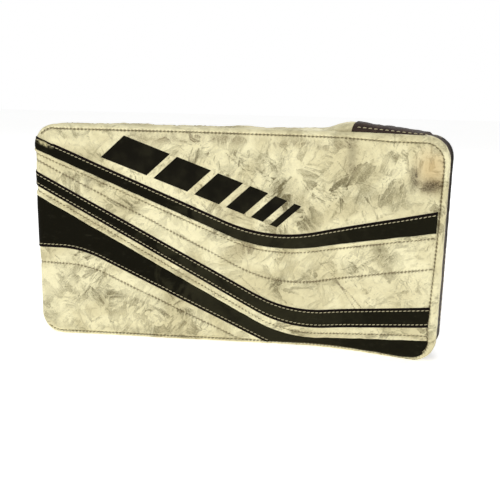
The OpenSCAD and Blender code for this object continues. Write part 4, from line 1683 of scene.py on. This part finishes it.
def light():
    """Soft studio light: a pale surround, a large key lamp over the camera and fills at the side and back."""
    world = bpy.data.worlds.new("pale_surround")
    bpy.context.scene.world = world
    world.use_nodes = True
    tree = world.node_tree
    seen = tree.nodes.new("ShaderNodeLightPath")
    strength = tree.nodes.new("ShaderNodeMapRange")
    strength.inputs["To Min"].default_value = 0.5
    strength.inputs["To Max"].default_value = 1.0
    tree.links.new(seen.outputs["Is Camera Ray"], strength.inputs["Value"])
    tree.links.new(strength.outputs[0], tree.nodes["Background"].inputs["Strength"])
    tree.nodes["Background"].inputs["Color"].default_value = (1, 1, 1, 1)
    area_light("key", (-500, -1300, 1300), 10)
    area_light("fill", (1300, -900, 500), 3)
    area_light("back", (300, 1400, 1100), 8)
    bpy.context.scene.view_settings.view_transform = "Standard"


CAMERA_AZIMUTH = math.radians(5.55)
CAMERA_ELEVATION = math.radians(13.4)
CAMERA_ROLL = math.radians(1.1)
CAMERA_TARGET = Vector((15.2, FRONT_Y, 91.6))
CAMERA_DISTANCE = 700.0
CAMERA_LENS = 53.4


def camera():
    """The photograph's view: the face seen slightly from the forearm end and from above."""
    level = math.cos(CAMERA_ELEVATION)
    back = Vector((
        math.sin(CAMERA_AZIMUTH) * level, -math.cos(CAMERA_AZIMUTH) * level, math.sin(CAMERA_ELEVATION)
    ))
    right = (-back).cross(Vector((0, 0, 1))).normalized()
    up = back.cross(right)
    turn = Matrix.Rotation(CAMERA_ROLL, 3, back)
    made = add_object("camera", bpy.data.cameras.new("camera"))
    made.data.lens = CAMERA_LENS
    axes = Matrix((turn @ right, turn @ up, back)).transposed()
    made.matrix_world = Matrix.Translation((CAMERA_TARGET + back * CAMERA_DISTANCE) * MM) @ axes.to_4x4()
    made.data.clip_start = 0.01
    bpy.context.scene.camera = made


# ---------------------------------------------------------------- putting it together


def put(made, body, slot, *nodes):
    """Seats a finished piece on its body, in place of its CAD nodes; slot is not used."""
    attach(made, body)
    if nodes:
        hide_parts(*nodes)
    return made


CREAM_THREAD = thread("cream_thread", srgb(214, 204, 166), srgb(150, 138, 100))
OLIVE_THREAD = thread("olive_thread", srgb(124, 112, 72), srgb(74, 62, 36))


def build_board():
    """The board's covers, bindings, stripes, emblem and stitches."""
    white = scuffed_leather()
    binding = scuffed_leather("binding_leather", 0.65)
    dark = clean_leather("dark_wall_leather", srgb(54, 42, 36), srgb(92, 76, 64), 0.6, 0.6, 0.1)
    black = clean_leather("rear_binding_black", srgb(34, 31, 27), srgb(66, 62, 54), 0.5, 0.5)
    stripes = stripe_leather()
    put(face_cover(white), "board", "white_leather", "front_cover")
    put(folded_edges(white), "board", "white_leather")
    put(edge_binding(binding), "board", "binding_leather", "edge_binding")
    along = (-FACE_REACH - 3.0, BOARD_L - 5.0)
    for node, top, bottom, *kind in (
        ("stripe_upper", UPPER_TOP, UPPER_BOTTOM, "bottom", end_scuff),
        ("stripe_middle", MIDDLE_TOP, MIDDLE_BOTTOM),
        ("stripe_lower", LOWER_TOP, LOWER_BOTTOM, "top"),
    ):
        put(stripe(node + "_leather", top, bottom, along, stripes, *kind), "board", "black_leather", node)
    put(emblem(emblem_film()), "board", "emblem_film", "emblem_bars")
    for row in face_stitches(OLIVE_THREAD, CREAM_THREAD):
        put(row, "board", "white_leather")
    top_seam = SEAM_A - CORNER_R
    bottom_seam = BOTTOM_S + BOARD_L - CORNER_R - SEAM_A
    white_face, dark_face = (bottom_seam, ROUND_S + top_seam), (top_seam, bottom_seam)
    white_rear = (white_face[0] - SEAM_LEAN, white_face[1] + SEAM_LEAN)
    dark_rear = (dark_face[0] + SEAM_LEAN, dark_face[1] - SEAM_LEAN)
    put(side_wall("side_wall_white_leather", white_face, white_rear, white),
        "board", "white_leather", "side_wall_lower", "side_wall_upper", "side_wall_finger_end")
    put(side_wall("side_wall_dark_leather", dark_face, dark_rear, dark),
        "board", "dark_leather", "side_wall_dark")
    dark_row, white_row = (top_seam + 4, BOTTOM_S + 2), (bottom_seam + 4, ROUND_S + top_seam - 44)
    put(wall_stitches("side_wall_stitches", dark_row, (2.6, SIDE_T - 3.0), CREAM_THREAD),
        "board", "dark_leather")
    put(wall_stitches("white_wall_stitches", white_row, (3.4, SIDE_T - 3.4), OLIVE_THREAD),
        "board", "white_leather")
    put(rear_cover(black), "board", "rear_leather", "rear_cover")
    put(rear_binding(black), "board", "binding_leather", "rear_binding")


def build_pads(guard):
    """The foam pads of the hand, the guards and the cuff, with their stitches and piping."""
    mesh = air_mesh("dark_air_mesh", srgb(62, 58, 54), srgb(16, 15, 14))
    trim = clean_leather("guard_piping", srgb(38, 35, 31), srgb(70, 66, 58), 0.45, 0.4)
    kinds = {
        "backhand_pad": (mesh, "dark_mesh", channels(0, (8, 34))),
        "finger_backing_pad": (mesh, "dark_mesh", channels(2, BETWEEN_FINGERS)),
        "cuff_back_pad": (mesh, "dark_mesh", channels(0, (92, 120))),
        "index_guard": (guard, "guard_leather", channels(1, GUARD_CHANNELS, 1.1)),
        "little_finger_guard": (guard, "guard_leather", channels(0, ROLL_CHANNELS, 1.3)),
        "cuff_pad_thumb_side": (guard, "guard_leather", channels(1, CUFF_CHANNELS, 1.1)),
        "cuff_pad_outer_side": (guard, "guard_leather", channels(1, CUFF_CHANNELS, 1.1)),
    }
    pads = {node: foam_pad(node + "_cushion", node) for node in kinds}
    pads["thumb_guard"] = foam_pad("thumb_guard_cushion", "thumb_guard", voxel=2.4, shrink=0.4)
    inflate(list(pads.values()))
    for node, (finish, slot, grooves) in kinds.items():
        put(sewn(pads[node], node, finish, grooves), "board", slot, node)
    put(sewn(pads["thumb_guard"], "thumb_guard", guard, slack=0.8, pucker=0.25),
        "thumb", "guard_leather", "thumb_guard")
    for node, outline, channel_ys, radius in (
        ("index_guard", PAD_OUTLINE, GUARD_CHANNELS, 16),
        ("cuff_pad_thumb_side", CUFF_OUTLINE, CUFF_CHANNELS, 10),
        ("cuff_pad_outer_side", CUFF_OUTLINE, CUFF_CHANNELS, 10),
    ):
        put(welt(pads[node], cad_box(node), outline, radius, trim), "board", "guard_leather")
        put(pad_stitches(pads[node], cad_box(node), channel_ys, OLIVE_THREAD), "board", "guard_leather")
    put(roll_stitches(pads["little_finger_guard"], OLIVE_THREAD), "board", "guard_leather")
    return pads


def build_stall(node, body, tan, seed, length=None, angle=0.0):
    """A stall with its stitches, as (knuckle, radius). The thumb's CAD box is wider, as it is turned."""
    low, high = cad_box(node)
    radius = (high[1] - low[1]) / 2 if angle == 0 else (high[2] - low[2]) / 2
    length = length or high[0] - low[0] - 2 * radius
    knuckle = np.array([high[0] - radius, AXIS_Y, (low[2] + high[2]) / 2])
    made = put(stall(node + "_suede", node, knuckle, length, tan, seed, angle), body, "palm_suede", node)
    put(stall_stitches(made, knuckle, length, OLIVE_THREAD, angle), body, "palm_suede")
    return knuckle, radius


def build_strap():
    """The wrist strap with its fastener and pull tab."""
    hooks = hook_and_loop("hook_and_loop", srgb(52, 48, 44), srgb(14, 13, 12))
    strap = wrist_strap(webbing("strap_webbing", srgb(58, 54, 48), srgb(16, 15, 13)))
    put(strap, "strap", "strap_webbing", "wrist_strap")
    put(strap_stitches(strap, CREAM_THREAD), "strap", "strap_webbing")
    for name, body, voxel in (
        ("strap_hook", "strap", 0.5), ("cuff_loop", "board", 0.5), ("mount_loop", "board", 1.1),
    ):
        put(fastener(name + "_pile", name + "_patch", voxel, hooks), body, "hook_and_loop", name + "_patch")
    put(pull_tab(clean_leather("pull_tab_rubber", srgb(38, 36, 33), srgb(74, 70, 62), 0.5, 0.4)),
        "strap", "black_plastic", "strap_pull_tab")


def build_rear():
    """The glove, its guards, its cuff and its strap."""
    tan = suede("palm_suede", srgb(150, 140, 112), srgb(118, 106, 78), srgb(70, 60, 42))
    worn_grip = suede("palm_patch_suede", srgb(84, 78, 68), srgb(62, 57, 48), srgb(34, 30, 24))
    guard = clean_leather("guard_leather", srgb(232, 225, 186), srgb(150, 138, 96), 0.45, 0.55)
    pads = build_pads(guard)
    palm = put(palm_leather(tan), "board", "palm_suede", "palm_leather")
    patch = put(palm_patch(worn_grip), "board", "palm_patch_suede", "palm_patch")
    put(glove_stitches(palm, patch, pads["finger_backing_pad"], OLIVE_THREAD), "board", "palm_suede")
    put(rear_binding_stitches(CREAM_THREAD), "board", "binding_leather")
    for seed, finger in enumerate(FINGERS):
        knuckle, radius = build_stall("stall_" + finger, "finger_" + finger, tan, 80 + seed)
        gusset = knuckle_gusset(finger, knuckle, radius, tan)
        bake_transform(gusset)
    build_stall("thumb_stall", "thumb", tan, 88, THUMB_L, -THUMB_ANGLE)
    build_strap()


def finish_cad_nodes():
    """Procedural materials for the CAD nodes that stay: foams, sheets, hardware and the strap's ring."""
    pale_foam = foam("pale_foam", srgb(206, 204, 194), srgb(150, 146, 132))
    sheet = moulded_plastic("plastic_sheet", srgb(138, 138, 134), srgb(96, 96, 92), 0.35)
    black = moulded_plastic("black_plastic", srgb(34, 33, 31), srgb(70, 68, 64), 0.38)
    steel = plated_steel("plated_steel")
    kept = {
        pale_foam: ("front_foam", "core_foam"),
        sheet: ("stiffener_sheet", "mount_plate", "index_guard_insert", "thumb_guard_insert"),
        steel: ("mount_bolts", "tee_nuts"),
        black: ("strap_ring",),
    }
    for material, nodes in kept.items():
        for node in nodes:
            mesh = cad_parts[node].data
            mesh.materials.clear()
            mesh.materials.append(material)


light()
camera()
finish_cad_nodes()
build_board()
build_rear()

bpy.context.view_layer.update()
stage()
